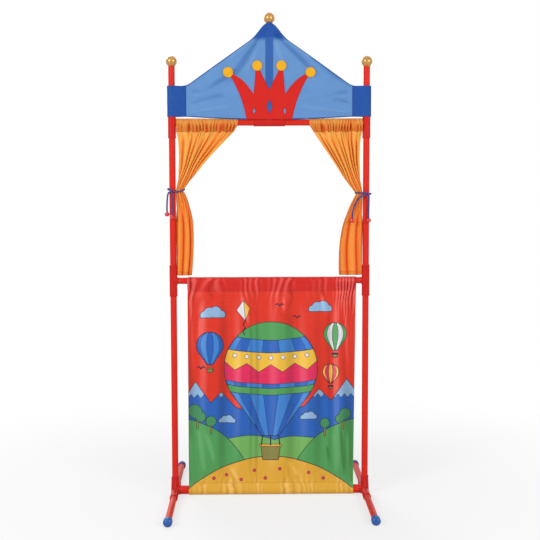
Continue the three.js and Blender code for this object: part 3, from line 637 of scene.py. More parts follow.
# Finials: satin gold balls, each with a turned seat and the peg that drops into its tube. Each rides on
# its own body.
BALL_RADIUS = 0.016
PEG_RADIUS = 0.008
PEG_LENGTH = 0.026
FINIAL_PLACES = {"left": (-UPRIGHT_X, 1.289), "right": (UPRIGHT_X, 1.289), "centre": (0.0, 1.413)}

gold, tree, place = new_material("satin gold paint", "finial_gold")
flake = effect(grain, place, Scale=2200.0)
warm = mixed(flake["Tone"], (0.42, 0.20, 0.045), (0.60, 0.33, 0.09))
warm = mixed(between(flake["Height"], 0.5, 0.7) * 0.3, warm, (0.85, 0.58, 0.24))
surface(tree, {"Base Color": warm, "Metallic": 0.45, "Specular IOR Level": 0.5,
               "Roughness": scaled(flake["Marks"], 0.24, 0.38), "Normal": bump(flake["Height"], 0.00004)})

seat_angle = math.acos(STUB_RADIUS / BALL_RADIUS)
ball = arc(BALL_RADIUS, -seat_angle, math.pi / 2, 40)
ball[-1, 0] = 0
seat = -BALL_RADIUS * math.sin(seat_angle)
neck = rounded([(0, seat - PEG_LENGTH, 0), (PEG_RADIUS, seat - PEG_LENGTH, 0.0015),
                (PEG_RADIUS, seat, 0.0002), (STUB_RADIUS, seat, 0)])
for side_name, (x, z) in FINIAL_PLACES.items():
    finial = turned(side_name + "_turned_ball", np.vstack([neck, ball[1:]]), (x, 0, z), sides=64)
    dress(finial, gold, side_name + "_finial", side_name + "_finial")

# Canopy: one sheet of thin blue cloth, from the seam behind each post, round it and across the front. Its
# wrinkles run out from the peak and the pockets. A strip sewn behind it makes the tunnel for the pole,
# and a binding is sewn along its hem and its top.
HEM = 1.130
HEM_SAG = 0.009
SIDE_TOP = 1.218
KINK_TOP = 1.355
APEX_TOP = 1.4008
APEX_HALF = 0.010
KINK_HALF = 0.045
TOP_ROUNDING = 0.014
SEAM_X = 0.242
SEAM_LAP = 0.003
LAP_GAP = 0.0009
FLAT_HALF = 0.128
CANOPY_FRONT = 0.01055
CANOPY_RIPPLE = 0.0006
CANOPY_ROWS = 60
POCKET_RADIUS = 0.01305
POCKET_RIPPLE = 0.0005
TUNNEL_FOOT = 1.136
TUNNEL_RADIUS = 0.0109
TUNNEL_HALF = 0.0118
TUNNEL_FLAP = 0.0120
TUNNEL_SHORT = 0.001
CANOPY_CLOTH = 0.0007
BINDING_HALF = (0.0017, 0.00075)
BINDING_INSET = 0.0012
WRINKLE_TONE = 0.0030
# Each wrinkle: where it starts (x, z), its bearing from straight down, half width, length and rise.
WRINKLES = [(0.000, 1.392, -0.62, 0.011, 0.26, 0.0042),
            (-0.010, 1.386, -0.42, 0.009, 0.21, -0.0030),
            (-0.085, 1.268, -1.02, 0.008, 0.15, 0.0034),
            (-0.020, 1.372, -0.90, 0.008, 0.20, -0.0024),
            (0.000, 1.392, 0.36, 0.009, 0.20, -0.0030),
            (0.006, 1.380, 0.80, 0.009, 0.25, 0.0038),
            (0.030, 1.358, 0.97, 0.008, 0.22, -0.0026),
            (0.110, 1.302, 0.98, 0.008, 0.19, 0.0030),
            (-0.242, 1.206, 1.42, 0.009, 0.17, 0.0018),
            (-0.242, 1.190, 1.66, 0.010, 0.22, -0.0026),
            (-0.242, 1.164, 1.86, 0.009, 0.20, 0.0020),
            (-0.242, 1.140, 1.72, 0.007, 0.20, -0.0024),
            (0.242, 1.206, -1.34, 0.009, 0.19, 0.0022),
            (0.242, 1.190, -1.52, 0.010, 0.20, -0.0026),
            (0.242, 1.168, -1.80, 0.008, 0.13, 0.0022),
            (0.242, 1.140, -1.70, 0.008, 0.24, -0.0026)]


def toward(start, end, share):
    """start at share 0, end at share 1, and straight between them."""
    return start + (end - start) * share


def smooth_step(value, low, high):
    """0 below low, 1 above high, and 3t2 - 2t3 between them."""
    t = np.clip((value - low) / (high - low), 0, 1)
    return t * t * (3 - 2 * t)


def canopy_folds(x, z):
    """The wrinkles' height along Y: for each its rise x exp(-(offset / width)2), fading in and out
    along its length."""
    height = 0 * x + 0 * z
    for start_x, start_z, bearing, width, length, rise in WRINKLES:
        sideways = x - start_x
        down = start_z - z
        offset = sideways * math.cos(bearing) - down * math.sin(bearing)
        along = sideways * math.sin(bearing) + down * math.cos(bearing)
        spread = width * (0.5 + np.clip(along, 0, length) / length)
        ease = smooth_step(along, 0, 0.12 * length) * (1 - smooth_step(along, 0.40 * length, length))
        height = height + rise * ease * np.exp(-(offset / spread)**2)
    return height


def canopy_depth(x, z):
    """The sheet's place along Y: -front (1 - away^1.5), plus the wrinkles and a slight ripple."""
    away = np.clip((np.abs(x) - FLAT_HALF) / (SEAM_X - FLAT_HALF), 0, 1)
    ripple = np.sin(38 * x + 61 * z) * np.sin(73 * x - 29 * z + 1.0)
    return -CANOPY_FRONT * (1 - away**1.5) + canopy_folds(x, z) + CANOPY_RIPPLE * ripple * (1 - away)


def canopy_top(x):
    """The top edge: straight lines from the apex to the kink and the pocket, averaged over a window."""
    window = np.linspace(-TOP_ROUNDING, TOP_ROUNDING, 15)
    reach = np.abs(x[..., None] + window)
    return np.interp(reach, [APEX_HALF, KINK_HALF, SEAM_X], [APEX_TOP, KINK_TOP, SIDE_TOP]).mean(axis=-1)


leave = math.acos(POCKET_RADIUS / (UPRIGHT_X - SEAM_X))
loop = arc(POCKET_RADIUS, leave, 2 * math.pi - leave, 44) - [UPRIGHT_X, 0]
back_flap = np.linspace((-SEAM_X + SEAM_LAP, LAP_GAP), loop[0], 14)
front_flap = np.linspace(loop[-1], (-SEAM_X, 0), 16)
pocket = np.vstack([back_flap, loop[1:], front_flap[1:]])
front_x = np.linspace(-SEAM_X, SEAM_X, 176)[1:-1]
front = np.stack([front_x, np.zeros_like(front_x)], axis=1)
plan = np.vstack([pocket, front, pocket[::-1] * [-1, 1]])
on_front = np.zeros(len(plan), bool)
on_front[len(pocket):-len(pocket)] = True
sag = np.where(on_front, HEM_SAG * (1 - (plan[:, 0] / SEAM_X)**2), 0)
rise = np.linspace(0, 1, CANOPY_ROWS)[:, None]
sheet_z = toward(HEM - sag, canopy_top(plan[:, 0]), rise)
sheet_x = np.broadcast_to(plan[:, 0], sheet_z.shape)
pocket_ripple = POCKET_RIPPLE * np.sin(150 * sheet_z + 260 * sheet_x) * (np.abs(sheet_x) > SEAM_X)
sheet_y = np.where(on_front, canopy_depth(sheet_x, sheet_z), plan[:, 1] + pocket_ripple)
sheet = np.stack([sheet_x, sheet_y, sheet_z], axis=-1)

# Weave: threads that cross a pitch apart, and thicker stretches along them.
vector, pitch = new_group("plain weave", Vector="Vector", Pitch="Float")
waves = [calc("SINE", coordinate(vector, letter) / pitch * (2 * math.pi)) for letter in "XZ"]
long_threads = Wire(add(vector.tree, "Mapping", {"Vector": vector, "Scale": (12.0, 12.0, 900.0)}))
weave = finished_group(Height=waves[0] * waves[1] * 0.5 + 0.5,
                       Slub=between(noise(long_threads, 1.0), 0.45, 0.75))


def line_at(value, middle, half, fade):
    """A drawn or sewn line: 1 within half of the middle, and 0 from fade on."""
    return 1 - between(abs(value - middle), half, fade)


thin_blue, tree, place = new_material("thin blue cloth", "canopy_blue")
off_centre = abs(coordinate(place, "X"))
height = coordinate(place, "Z")
# Painted shade: where the cloth lies doubled, at the pockets, the peak and the tunnel strip, its blue is
# mixed toward a deeper, darker blue.
in_pocket = between(off_centre, SEAM_X + 0.0002, SEAM_X + 0.0012)
at_peak = between(height, KINK_TOP - 0.011, KINK_TOP + 0.005)
on_tunnel = 1 - between(off_centre, TUNNEL_HALF - 0.0006, TUNNEL_HALF + 0.0002)
doubled_cloth_shade = calc("MAXIMUM", calc("MAXIMUM", in_pocket, at_peak), on_tunnel * 0.8)
threads = effect(weave, place, Pitch=0.0006)
# Painted shade in the wrinkles' hollows and painted highlight on their ridges, from the fold attribute.
wrinkle_painted_shade = between(own_value(tree, "fold"), 0.10, 1.1) * 0.50
ridge = between(own_value(tree, "fold"), -0.10, -1.1) * 0.30
single_blue = mixed(effect(grain, place, Scale=500.0)["Tone"], (0.136, 0.310, 0.610), (0.174, 0.375, 0.68))
single_blue = mixed(ridge, mixed(wrinkle_painted_shade, single_blue, (0.045, 0.150, 0.45)), (0.27, 0.47, 0.76))
doubled_cloth_shaded_blue = mixed(wrinkle_painted_shade, (0.014, 0.104, 0.45), (0.008, 0.058, 0.31))
cloth_blue = mixed(threads["Slub"] * 0.05, mixed(doubled_cloth_shade, single_blue, doubled_cloth_shaded_blue), (0.3, 0.5, 0.85))
dashes = between(calc("SINE", height * (2 * math.pi / 0.003)), -0.5, 0.0)
stitches = line_at(off_centre, SEAM_X + 0.0025, 0.0003, 0.0008) * dashes
cloth_blue = mixed(stitches, cloth_blue, (0.01, 0.05, 0.25))
relief = threads["Height"] + stitches * -2.0
surface(tree, {"Base Color": cloth_blue, "Roughness": 0.6, "Specular IOR Level": 0.25, "Sheen Weight": 0.05,
               "Normal": bump(relief, 0.00005)}, through=cloth_blue, share=0.3)


def thickened(obj, thickness):
    """A sheet closed by a live Solidify, half of its thickness to each side."""
    solidify = obj.modifiers.new("cloth", "SOLIDIFY")
    solidify.thickness = thickness
    solidify.offset = 0
    return obj


# The fold attribute is the wrinkles' height, which the material turns into painted shade and painted
# highlight.
fold = np.where(on_front, canopy_folds(sheet_x, sheet_z) / WRINKLE_TONE, 900 * pocket_ripple)
canopy = thickened(grid_object("canopy_sheet", sheet, fold=fold), CANOPY_CLOTH)
dress(canopy, thin_blue, "frame", "canopy")

seam_flap = np.array([(0.0145, -0.0098), (0.0122, -0.0096)])
tunnel_bow = arc(TUNNEL_RADIUS, math.radians(206), math.radians(-26), 46)
tunnel_plan = np.vstack([seam_flap * [-1, 1], tunnel_bow, seam_flap[::-1]])
tunnel_z = toward(TUNNEL_FOOT, canopy_top(tunnel_plan[:, 0]) - TUNNEL_SHORT, rise)
tunnel_x = np.broadcast_to(tunnel_plan[:, 0], tunnel_z.shape)
against_sheet = canopy_depth(tunnel_x, tunnel_z) + CANOPY_CLOTH + 0.0001
tunnel_y = np.where(np.abs(tunnel_x) > TUNNEL_FLAP, against_sheet, tunnel_plan[:, 1])
tunnel = grid_object("canopy_tunnel_strip", np.stack([tunnel_x, tunnel_y, tunnel_z], axis=-1), fold=0.0)
dress(thickened(tunnel, 0.8 * CANOPY_CLOTH), thin_blue, "frame", "canopy")

binding_blue, tree, place = new_material("blue binding", "canopy_blue")
fuzz = effect(grain, place, Scale=900.0)["Tone"]
surface(tree, {"Base Color": mixed(fuzz, (0.012, 0.060, 0.27), (0.020, 0.092, 0.37)),
               "Roughness": 0.7, "Specular IOR Level": 0.25, "Sheen Weight": 0.05,
               "Normal": bump(effect(weave, place, Pitch=0.0007)["Height"], 0.00008)})

angle = np.linspace(0, 2 * np.pi, 14, endpoint=False)
half_width, half_depth = BINDING_HALF
oval = half_width * half_depth / np.hypot(half_depth * np.cos(angle), half_width * np.sin(angle))
for edge_name, row, inset in (("hem", 0, BINDING_INSET), ("top", -1, -BINDING_INSET)):
    edge_path = sheet[row] + [0, 0, inset]
    band = swept(f"canopy_{edge_name}_binding", edge_path, np.repeat(oval[None], len(edge_path), axis=0))
    dress(band, binding_blue, "frame", "canopy")

# Crown: red felt sewn on the canopy near its edge, with three diamond openings. Its outline and its
# openings are shares of its half width and its height.
CROWN_HALF = 0.12
CROWN_HEIGHT = 0.155
CROWN_BASE = 1.1206
CROWN_GAP = 0.0013
FELT = 0.0012
FELT_STITCH = 0.0028
STITCH_DEPTH = 0.0003
STITCH_WIDTH = 0.0016
LARGE_DIAMOND_SHARES = (0, 0.245, 0.075, 0.14)
SMALL_DIAMOND_SHARES = (0.373, 0.16, 0.037, 0.061)


def curve(a, b, c, steps=14):
    """The curve (1-t)2 a + 2t(1-t) b + t2 c."""
    t = np.linspace(0, 1, steps)[:, None]
    return (1 - t)**2 * np.array(a) + 2 * t * (1 - t) * np.array(b) + t**2 * np.array(c)


def resampled(outline, step=0.002):
    """A closed outline with points no further apart than step, its corners kept."""
    pieces = []
    for a, b in zip(outline, np.roll(outline, -1, axis=0)):
        count = max(1, math.ceil(np.linalg.norm(b - a) / step))
        pieces.append(np.linspace(a, b, count, endpoint=False))
    return np.vstack(pieces)


def segment_distance(x, z, a, b):
    """The distance from (x, z) to the nearest place of the segment a to b, and that place's share of it."""
    run_x = b[0] - a[0]
    run_z = b[1] - a[1]
    share = np.clip(((x - a[0]) * run_x + (z - a[1]) * run_z) / (run_x**2 + run_z**2), 0, 1)
    return np.hypot(x - a[0] - share * run_x, z - a[1] - share * run_z), share


def outline_distance(x, z, outlines):
    """The distance from (x, z) to closed outlines, negative inside by the even-odd rule, and how far
    along its outline the nearest place is."""
    nearest = np.full(np.shape(x), 1e3)
    along = np.zeros(np.shape(x))
    inside = np.zeros(np.shape(x), bool)
    for outline in outlines:
        travel = 0.0
        for a, b in zip(outline, np.roll(outline, -1, axis=0)):
            length = math.hypot(*(b - a))
            gap, share = segment_distance(x, z, a, b)
            along = np.where(gap < nearest, travel + share * length, along)
            nearest = np.minimum(nearest, gap)
            slope = (b[0] - a[0]) / (b[1] - a[1]) if b[1] != a[1] else 0.0
            inside ^= ((a[1] > z) != (b[1] > z)) & (x < a[0] + (z - a[1]) * slope)
            travel += length
    return np.where(inside, -nearest, nearest), along


def on_crown(shares):
    """Shares of the crown's half width and height as places on the canopy."""
    return np.asarray(shares) * [CROWN_HALF, CROWN_HEIGHT] + [0, CROWN_BASE]


half = np.vstack([curve((0.553, 0), (0.648, 0.43), (0.945, 0.815)), [(1, 0.88)],
                  curve((0.89, 0.85), (0.597, 0.748), (0.382, 0.468)),
                  [(0.333, 0.897), (0.293, 1), (0.217, 0.903), (0, 0.55)]])
crown_outlines = [resampled(on_crown(np.vstack([half, half[-2::-1] * [-1, 1]])))]
diamonds = [(1, LARGE_DIAMOND_SHARES), (1, SMALL_DIAMOND_SHARES), (-1, SMALL_DIAMOND_SHARES)]
for side, (x, z, wide, tall) in diamonds:
    middle = side * x
    diamond = [(middle, z - tall), (middle + wide, z), (middle, z + tall), (middle - wide, z)]
    crown_outlines.append(resampled(on_crown(diamond)))


def felt_shape(name, outlines, stand_off, spacing=0.003):
    """Felt cut to the outlines and laid on the canopy: a triangle net with inside points, stand_off in
    front of the sheet and pressed down by exp(-((edge - stitch) / width)2) along its stitches."""
    rim = np.vstack(outlines)
    edges = []
    start = 0
    for outline in outlines:
        edges += [(start + i, start + (i + 1) % len(outline)) for i in range(len(outline))]
        start += len(outline)
    low = rim.min(axis=0)
    high = rim.max(axis=0)
    across = np.arange(low[0], high[0], spacing)
    net_x, net_z = np.meshgrid(across, np.arange(low[1], high[1], 0.87 * spacing))
    net_x[1::2] += spacing / 2
    kept = outline_distance(net_x, net_z, outlines)[0] < -0.5 * spacing
    flat = np.vstack([rim, np.stack([net_x[kept], net_z[kept]], axis=1)])
    net = delaunay_2d_cdt(flat.tolist(), edges, [], 0, 1e-7)
    flat = np.array(net[0])
    faces = np.array(net[2])
    middle = flat[faces].mean(axis=1)
    faces = faces[outline_distance(middle[:, 0], middle[:, 1], outlines)[0] < 0]
    gap, along = outline_distance(flat[:, 0], flat[:, 1], outlines)
    press = STITCH_DEPTH * np.exp(-((-gap - FELT_STITCH) / STITCH_WIDTH)**2)
    y = canopy_depth(flat[:, 0], flat[:, 1]) - stand_off + press
    places = np.stack([flat[:, 0], y, flat[:, 1]], axis=1)
    return thickened(mesh_object(name, places, faces, edge=-gap, along=along), FELT)


def felt_material(name, slot, dark, light, thread):
    """Pressed felt: tangled fibres, and a row of stitches a little inside its cut edge."""
    material, tree, place = new_material(name, slot)
    tangle = noise(place, 1400.0, 4.0, 2.5)
    dash = calc("SINE", own_value(tree, "along") * (2 * math.pi / 0.0034))
    stitch = line_at(own_value(tree, "edge"), FELT_STITCH, 0.0002, 0.0005) * between(dash, -0.5, -0.1)
    colour = mixed(tangle * 0.5 + effect(grain, place, Scale=700.0)["Tone"] * 0.5, dark, light)
    surface(tree, {"Base Color": mixed(stitch, colour, thread), "Roughness": 0.92, "Sheen Weight": 0.08,
                   "Sheen Roughness": 0.5, "Specular IOR Level": 0.2,
                   "Normal": bump(tangle + stitch * 1.2, 0.0002)})
    return material


felt_red = felt_material("red felt", "crown_red", (0.55, 0.0115, 0.009), (0.67, 0.023, 0.016),
                         (0.48, 0.01, 0.008))
dress(felt_shape("felt_crown", crown_outlines, CROWN_GAP), felt_red, "frame", "crown")

# Discs: four yellow felt rounds sewn over the crown's points, a little off round as they are hand cut.
DISC_RADIUS = 0.01475
DISC_GAP = 0.0027

felt_yellow = felt_material("yellow felt", "disc_yellow", (0.74, 0.36, 0.010), (0.84, 0.43, 0.017),
                            (0.68, 0.30, 0.008))
ring = np.linspace(0, 2 * math.pi, 60, endpoint=False)
around = np.stack([np.cos(ring), np.sin(ring)], axis=1)
for side_name, side in (("left", -1), ("right", 1)):
    for order, share_x, share_z in (("outer", 1, 0.88), ("inner", 0.293, 1)):
        uneven = 0.008 * np.sin(2 * ring + side * share_x) + 0.005 * np.sin(5 * ring + share_z)
        outline = (DISC_RADIUS * (1 + uneven))[:, None] * around + on_crown((side * share_x, share_z))
        disc = felt_shape(f"{side_name}_{order}_felt_disc", [outline], DISC_GAP, 0.0022)
        dress(disc, felt_yellow, "frame", f"{side_name}_{order}_disc")

# Curtains: each is one light satin sheet. It goes up the back of the header, over the top rail and down
# its front to the gathered seam, then falls in broad folds to its tie, and hangs from there to its hem.
RAIL_LOOP = 0.0104
HEADER_DROP = 0.027
HEADER_BOTTOM = TOP_RAIL - HEADER_DROP
HEADER_OUTER = 0.013
HEADER_TAPER = 0.012
HEADER_BACK = 0.0012
HEADER_FRONT = -0.0016
CURTAIN_BOTTOM = 0.664
CURTAIN_PLANE = -0.0008
WAIST_OUTER = 0.0115
DRAPE_OUTER = 0.020
CURTAIN_CLOTH = 0.0005
COLUMNS = 300
LOOP_ROWS = 18
DRAPE_ROWS = 74
HANG_ROWS = 58
ROW_POWER = 1.05
BUNDLE_FRONT = -0.0092
BUNDLE_BACK = 0.0085
TIE_CREASE = 0.0042
LOW_CREASE = 0.0105
CREASE_MIDDLE = 0.72
CURTAIN_HEM = 0.011
# For each curtain: its side, header width, tie height, reach at the tie, reach of the hang, hem taper,
# powers of its edge above and below the tie, where its header is smooth, its creases above and below.
CURTAINS = {
    "left": (-1, 0.180, 0.914, 0.0305, 0.060, 0.25, 1.15, 5.0, 0.04,
             (0.11, 0.29, 0.37, 0.53, 0.60, 0.77, 0.86), (0.17, 0.44, 0.70, 0.84)),
    "right": (1, 0.155, 0.904, 0.0285, 0.080, 0.05, 0.96, 2.7, 0.96,
              (0.10, 0.22, 0.30, 0.45, 0.52, 0.68, 0.82, 0.90), (0.15, 0.36, 0.60, 0.82))}

orange, tree, place = new_material("light orange satin", "curtain_orange")
hollow = own_value(tree, "hollow")
hem_gap = own_value(tree, "hem_gap")
cloth = mixed(effect(grain, place, Scale=600.0)["Tone"], (0.85, 0.48, 0.090), (0.92, 0.58, 0.130))
# Painted shade: the cloth turns from a light yellow orange to a deeper, darker orange in its creases,
# gathers and lower parts.
cloth = mixed(between(hollow, 0.0, 0.55), cloth, (0.90, 0.32, 0.045))
cloth = mixed(between(hollow, 0.45, 1.0), cloth, (0.80, 0.13, 0.014))
# Painted shade along the doubled hem: it is mixed toward a darker orange.
doubled_hem_shade = 1 - between(hem_gap, CURTAIN_HEM + 0.0005, CURTAIN_HEM + 0.0015)
cloth = mixed(doubled_hem_shade * 0.35, cloth, (0.78, 0.20, 0.03))
sewn = calc("MAXIMUM", line_at(own_value(tree, "seam_gap"), 0, 0.0005, 0.0012),
            line_at(hem_gap, CURTAIN_HEM, 0.0003, 0.0008))
cloth = mixed(sewn * 0.4, cloth, (0.55, 0.08, 0.01))
relief = effect(weave, place, Pitch=0.0005)["Height"] + sewn * -3.0
surface(tree, {"Base Color": cloth, "Roughness": 0.45, "Specular IOR Level": 0.3, "Sheen Weight": 0.08,
               "Sheen Roughness": 0.4, "Normal": bump(relief, 0.00004)}, through=cloth, share=0.42)


def wandering(u, waves, depth):
    """A slow seeded wander along u: the sum of depth / n x sin(n x waves x 2 pi u + phase)."""
    phases = chance.uniform(0, 2 * math.pi, 3)
    return sum(depth / n * np.sin(2 * math.pi * waves * n * u + phases[n - 1]) for n in (1, 2, 3))


def pleats(u, creases):
    """Round ridges of cloth with narrow creases between them: (sin(pi p)2 + 0.008)^0.32, where p counts
    the creases passed."""
    count = len(creases)
    passed = np.interp(u, (0, *creases, 1), (0.4, *range(1, count + 1), count + 0.6))
    return (np.sin(math.pi * passed)**2 + 0.008)**0.32


def puffed(phase):
    """Gathers as rounded puffs from -0.75 to 1: 2 (sin2 + 0.01)^0.45 - 1."""
    return 2 * (np.sin(phase)**2 + 0.01)**0.45 - 1


def bundled(u, outer, inner, curl, gathered, relief):
    """A row of the sheet as an arc from outer to inner that turns through curl, its middle standing
    forward as it is gathered, with the relief added outward: x = middle + half sin a, y = -depth cos a."""
    turn_angle = curl * (u - 0.5)
    half = (inner - outer) / 2 / np.sin(np.minimum(curl / 2, math.pi / 2))
    depth = (BUNDLE_BACK - BUNDLE_FRONT) * gathered
    rounding = (np.cos(turn_angle) - np.cos(curl / 2)) / (1 - np.cos(curl / 2))
    x = (inner + outer) / 2 + (half + relief) * np.sin(turn_angle)
    y = CURTAIN_PLANE + BUNDLE_BACK * gathered - depth * rounding - relief * np.cos(turn_angle)
    return x, y


def stacked(u, *parts):
    """Parts of a sheet one after another: each part's coordinates, spread over all the columns of u."""
    spread = [np.broadcast_arrays(*part, u)[:-1] for part in parts]
    return [np.vstack(coordinates) for coordinates in zip(*spread)]


steps = np.linspace(0, 1, 6)[:, None]
bulge = 4 * steps * (1 - steps)
for side_name, (side, header_width, tie, waist, hang, taper, edge_power, fall_power, plain_end, creases,
                low_creases) in CURTAINS.items():
    u = np.linspace(0, 1, COLUMNS)[None]
    gathers = math.pi * (16 * u + wandering(u, 1.7, 0.4))
    pucker_size = 1.1 + wandering(u, 2.3, 0.18) + wandering(u, 5.3, 0.18)
    pucker_size = pucker_size * smooth_step(np.abs(u - plain_end), -0.08, 0.16)
    slant = 2.4 * np.sin(2 * math.pi * 1.7 * u + 1)
    pucker = puffed(gathers + slant)
    fold_size = 1 + wandering(u, 1.6, 0.16)
    shade = wandering(u, 1.3, 0.07)

    # The header: its back up to the rail, the loop over it and its front down to the seam.
    bow = np.linspace(math.radians(-25), math.radians(205), LOOP_ROWS)[:, None]
    lowness = (1 - np.sin(bow)) / 2
    loop_pucker = puffed(gathers + slant * lowness)
    reach = RAIL_LOOP + (0.0014 + 0.0038 * lowness) * (0.5 + 0.4 * loop_pucker * pucker_size)
    loop_y = reach * np.cos(bow)
    loop_z = TOP_RAIL + reach * np.sin(bow)
    loop_x = HEADER_OUTER + header_width * u + 0.0010 * np.sin(2 * gathers) * (0.3 + lowness)
    seam_wave = 0.0012 * np.sin(2 * gathers + 0.8)
    seam_x = HEADER_OUTER + header_width * u - HEADER_TAPER * u**6 + seam_wave
    back = (toward(seam_x, loop_x[:1], steps),
            toward(HEADER_BACK, loop_y[:1], steps) + 0.0004 * pucker * bulge,
            toward(HEADER_BOTTOM, loop_z[:1], steps))
    front = (toward(loop_x[-1:], seam_x, steps),
             toward(loop_y[-1:], HEADER_FRONT, steps) - 0.0028 * pucker * pucker_size * bulge,
             toward(loop_z[-1:], HEADER_BOTTOM, steps))

    # From the seam to the tie.
    above = toward(HEADER_BOTTOM, tie, np.linspace(0, 1, DRAPE_ROWS)[1:, None]**ROW_POWER)
    under_seam = HEADER_BOTTOM - above
    fallen = under_seam / (HEADER_BOTTOM - tie)
    near_seam = np.exp(-under_seam / 0.02)
    near_tie = smooth_step(fallen, 0.42, 1.0)
    inner = toward(waist, HEADER_OUTER + header_width - HEADER_TAPER, (1 - fallen)**edge_power)
    outer = toward(WAIST_OUTER, DRAPE_OUTER, np.minimum(1, 4 * (1 - fallen)))
    outer = toward(outer, HEADER_OUTER, near_seam)
    ridges = pleats(u + 0.03 * np.sin(above / 0.033 + 4 * u) * fallen * (1 - fallen), creases)
    ridge_size = (0.0030 + 0.0080 * smooth_step(fallen, 0.0, 0.40)) * fold_size
    ridge_size = toward(ridge_size, TIE_CREASE, near_tie)
    fine = 0.0024 * pucker * pucker_size * np.exp(-under_seam / 0.038)
    fine = fine * (0.35 + 0.65 * smooth_step(under_seam, 0, 0.006))
    drape_x, drape_y = bundled(u, outer, inner, np.radians(6 + 292 * near_tie), near_tie,
                               ridge_size * (ridges - CREASE_MIDDLE) + fine)
    drape_x = drape_x + seam_wave * near_seam

    # From the tie to the hem.
    below = toward(tie, CURTAIN_BOTTOM, np.linspace(0, 1, HANG_ROWS)[1:, None]**ROW_POWER)
    dropped = (tie - below) / (tie - CURTAIN_BOTTOM)
    spread = (1 - (1 - dropped)**fall_power) * (1 - taper * dropped**4)
    loosen = smooth_step(dropped, 0.0, 0.4)
    low_ridges = pleats(u + 0.02 * np.sin(below / 0.05 + 3 * u), low_creases)
    low_ridges = toward(pleats(u, creases), low_ridges, loosen)
    low_size = toward(TIE_CREASE, LOW_CREASE * fold_size, loosen)
    hang_x, hang_y = bundled(u, WAIST_OUTER, toward(waist, hang, spread), np.radians(298 - 70 * loosen),
                             1 - 0.4 * loosen, low_size * (low_ridges - CREASE_MIDDLE))
    hang_z = below + 0.0016 * (low_ridges[-1:] - 0.5) * dropped**6

    x, y, z = stacked(u, back, (loop_x[1:-1], loop_y[1:-1], loop_z[1:-1]), front,
                      (drape_x, drape_y, above), (hang_x, hang_y, hang_z))
    # Painted shade for each part of the sheet: in the creases and between the gathers, over the lower half
    # of the header, near the tie and over all of the hang, with a slow random wander across.
    level = np.vstack([np.ones_like(steps), lowness[1:-1], np.ones_like(steps)])
    lower_half = 1 - smooth_step(z[:len(level)], TOP_RAIL - 0.020, TOP_RAIL + 0.004)
    gather_shade = 0.85 * np.cos(gathers + slant * level)**2 * pucker_size
    head_hollow = shade + 0.18 + 0.15 * lower_half + gather_shade * (0.30 + 0.70 * lower_half)
    drape_hollow = shade + (1 - ridges) * smooth_step(fallen, 0.0, 0.2) + 0.30 * near_tie
    drape_hollow = drape_hollow + 0.30 * (1 - pucker) * pucker_size * np.exp(-under_seam / 0.018)
    hang_hollow = shade + 0.8 * (1 - low_ridges) + 0.36
    hollows = np.vstack([head_hollow, drape_hollow, hang_hollow])
    wavy_z = z + 0.0020 * pucker * pucker_size * np.exp(-np.abs(z - HEADER_BOTTOM) / 0.012)
    places = np.stack([side * (UPRIGHT_X - x), y, wavy_z], axis=-1)
    outward = slice(None, None, side)
    curtain = grid_object(side_name + "_curtain_cloth", places[:, outward], hollow=hollows[:, outward],
                          hem_gap=np.maximum(z - CURTAIN_BOTTOM, 0)[:, outward],
                          seam_gap=(z - HEADER_BOTTOM)[:, outward])
    thickened(curtain, CURTAIN_CLOTH)
    dress(curtain, orange, "", side_name + "_curtain_header", side_name + "_curtain_drape")
    middle = side * (UPRIGHT_X - waist)
    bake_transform(curtain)

# Front cloth: one printed satin sheet with a gathered pocket on the middle rail and a plain one round the
# bottom rail. The print is a generic scene: balloons over hills, with no lettering and no figures.
PANEL_LEFT = -0.244
PANEL_TOP_RIGHT = 0.256
PANEL_BOTTOM_RIGHT = 0.250
PANEL_SEAM = 0.617
PANEL_LOW_SEAM = 0.038
PANEL_PLANE = -0.0035
PANEL_CLOTH = 0.0006
PANEL_FOLD = 0.003
PANEL_FOLD_COUNT = 5
PANEL_COLUMNS = 216
PANEL_ROWS = 172
HEADER_HALF_DEPTH = 0.0012
HEM_BACK = 0.0014
BOTTOM_LOOP = 0.0144
SIDE_HEM = 0.008
PUCKER = 0.0021
LOW_PUCKER = 0.0015
# Each long soft fold: its upper end (x, z), its lower end (x, z), half width and rise.
DRAPE_FOLDS = [(-0.236, 0.604, -0.226, 0.360, 0.0060, 0.0016),
               (-0.200, 0.590, -0.212, 0.430, 0.0080, 0.0014),
               (-0.084, 0.602, -0.058, 0.510, 0.0070, 0.0018),
               (0.041, 0.602, 0.044, 0.545, 0.0060, 0.0016),
               (0.154, 0.604, 0.167, 0.540, 0.0055, 0.0018),
               (0.222, 0.604, 0.238, 0.330, 0.0060, 0.0020),
               (-0.216, 0.205, -0.195, 0.066, 0.0055, 0.0022),
               (-0.190, 0.190, -0.165, 0.095, 0.0065, 0.0022),
               (-0.238, 0.180, -0.235, 0.058, 0.0040, 0.0016),
               (0.212, 0.230, 0.230, 0.050, 0.0045, -0.0020),
               (0.194, 0.190, 0.208, 0.085, 0.0070, 0.0018),
               (0.236, 0.200, 0.240, 0.070, 0.0045, 0.0016),
               (0.174, 0.150, 0.181, 0.105, 0.0040, -0.0014),
               (0.060, 0.105, 0.090, 0.050, 0.0080, 0.0014),
               (-0.120, 0.090, -0.095, 0.045, 0.0070, 0.0014)]

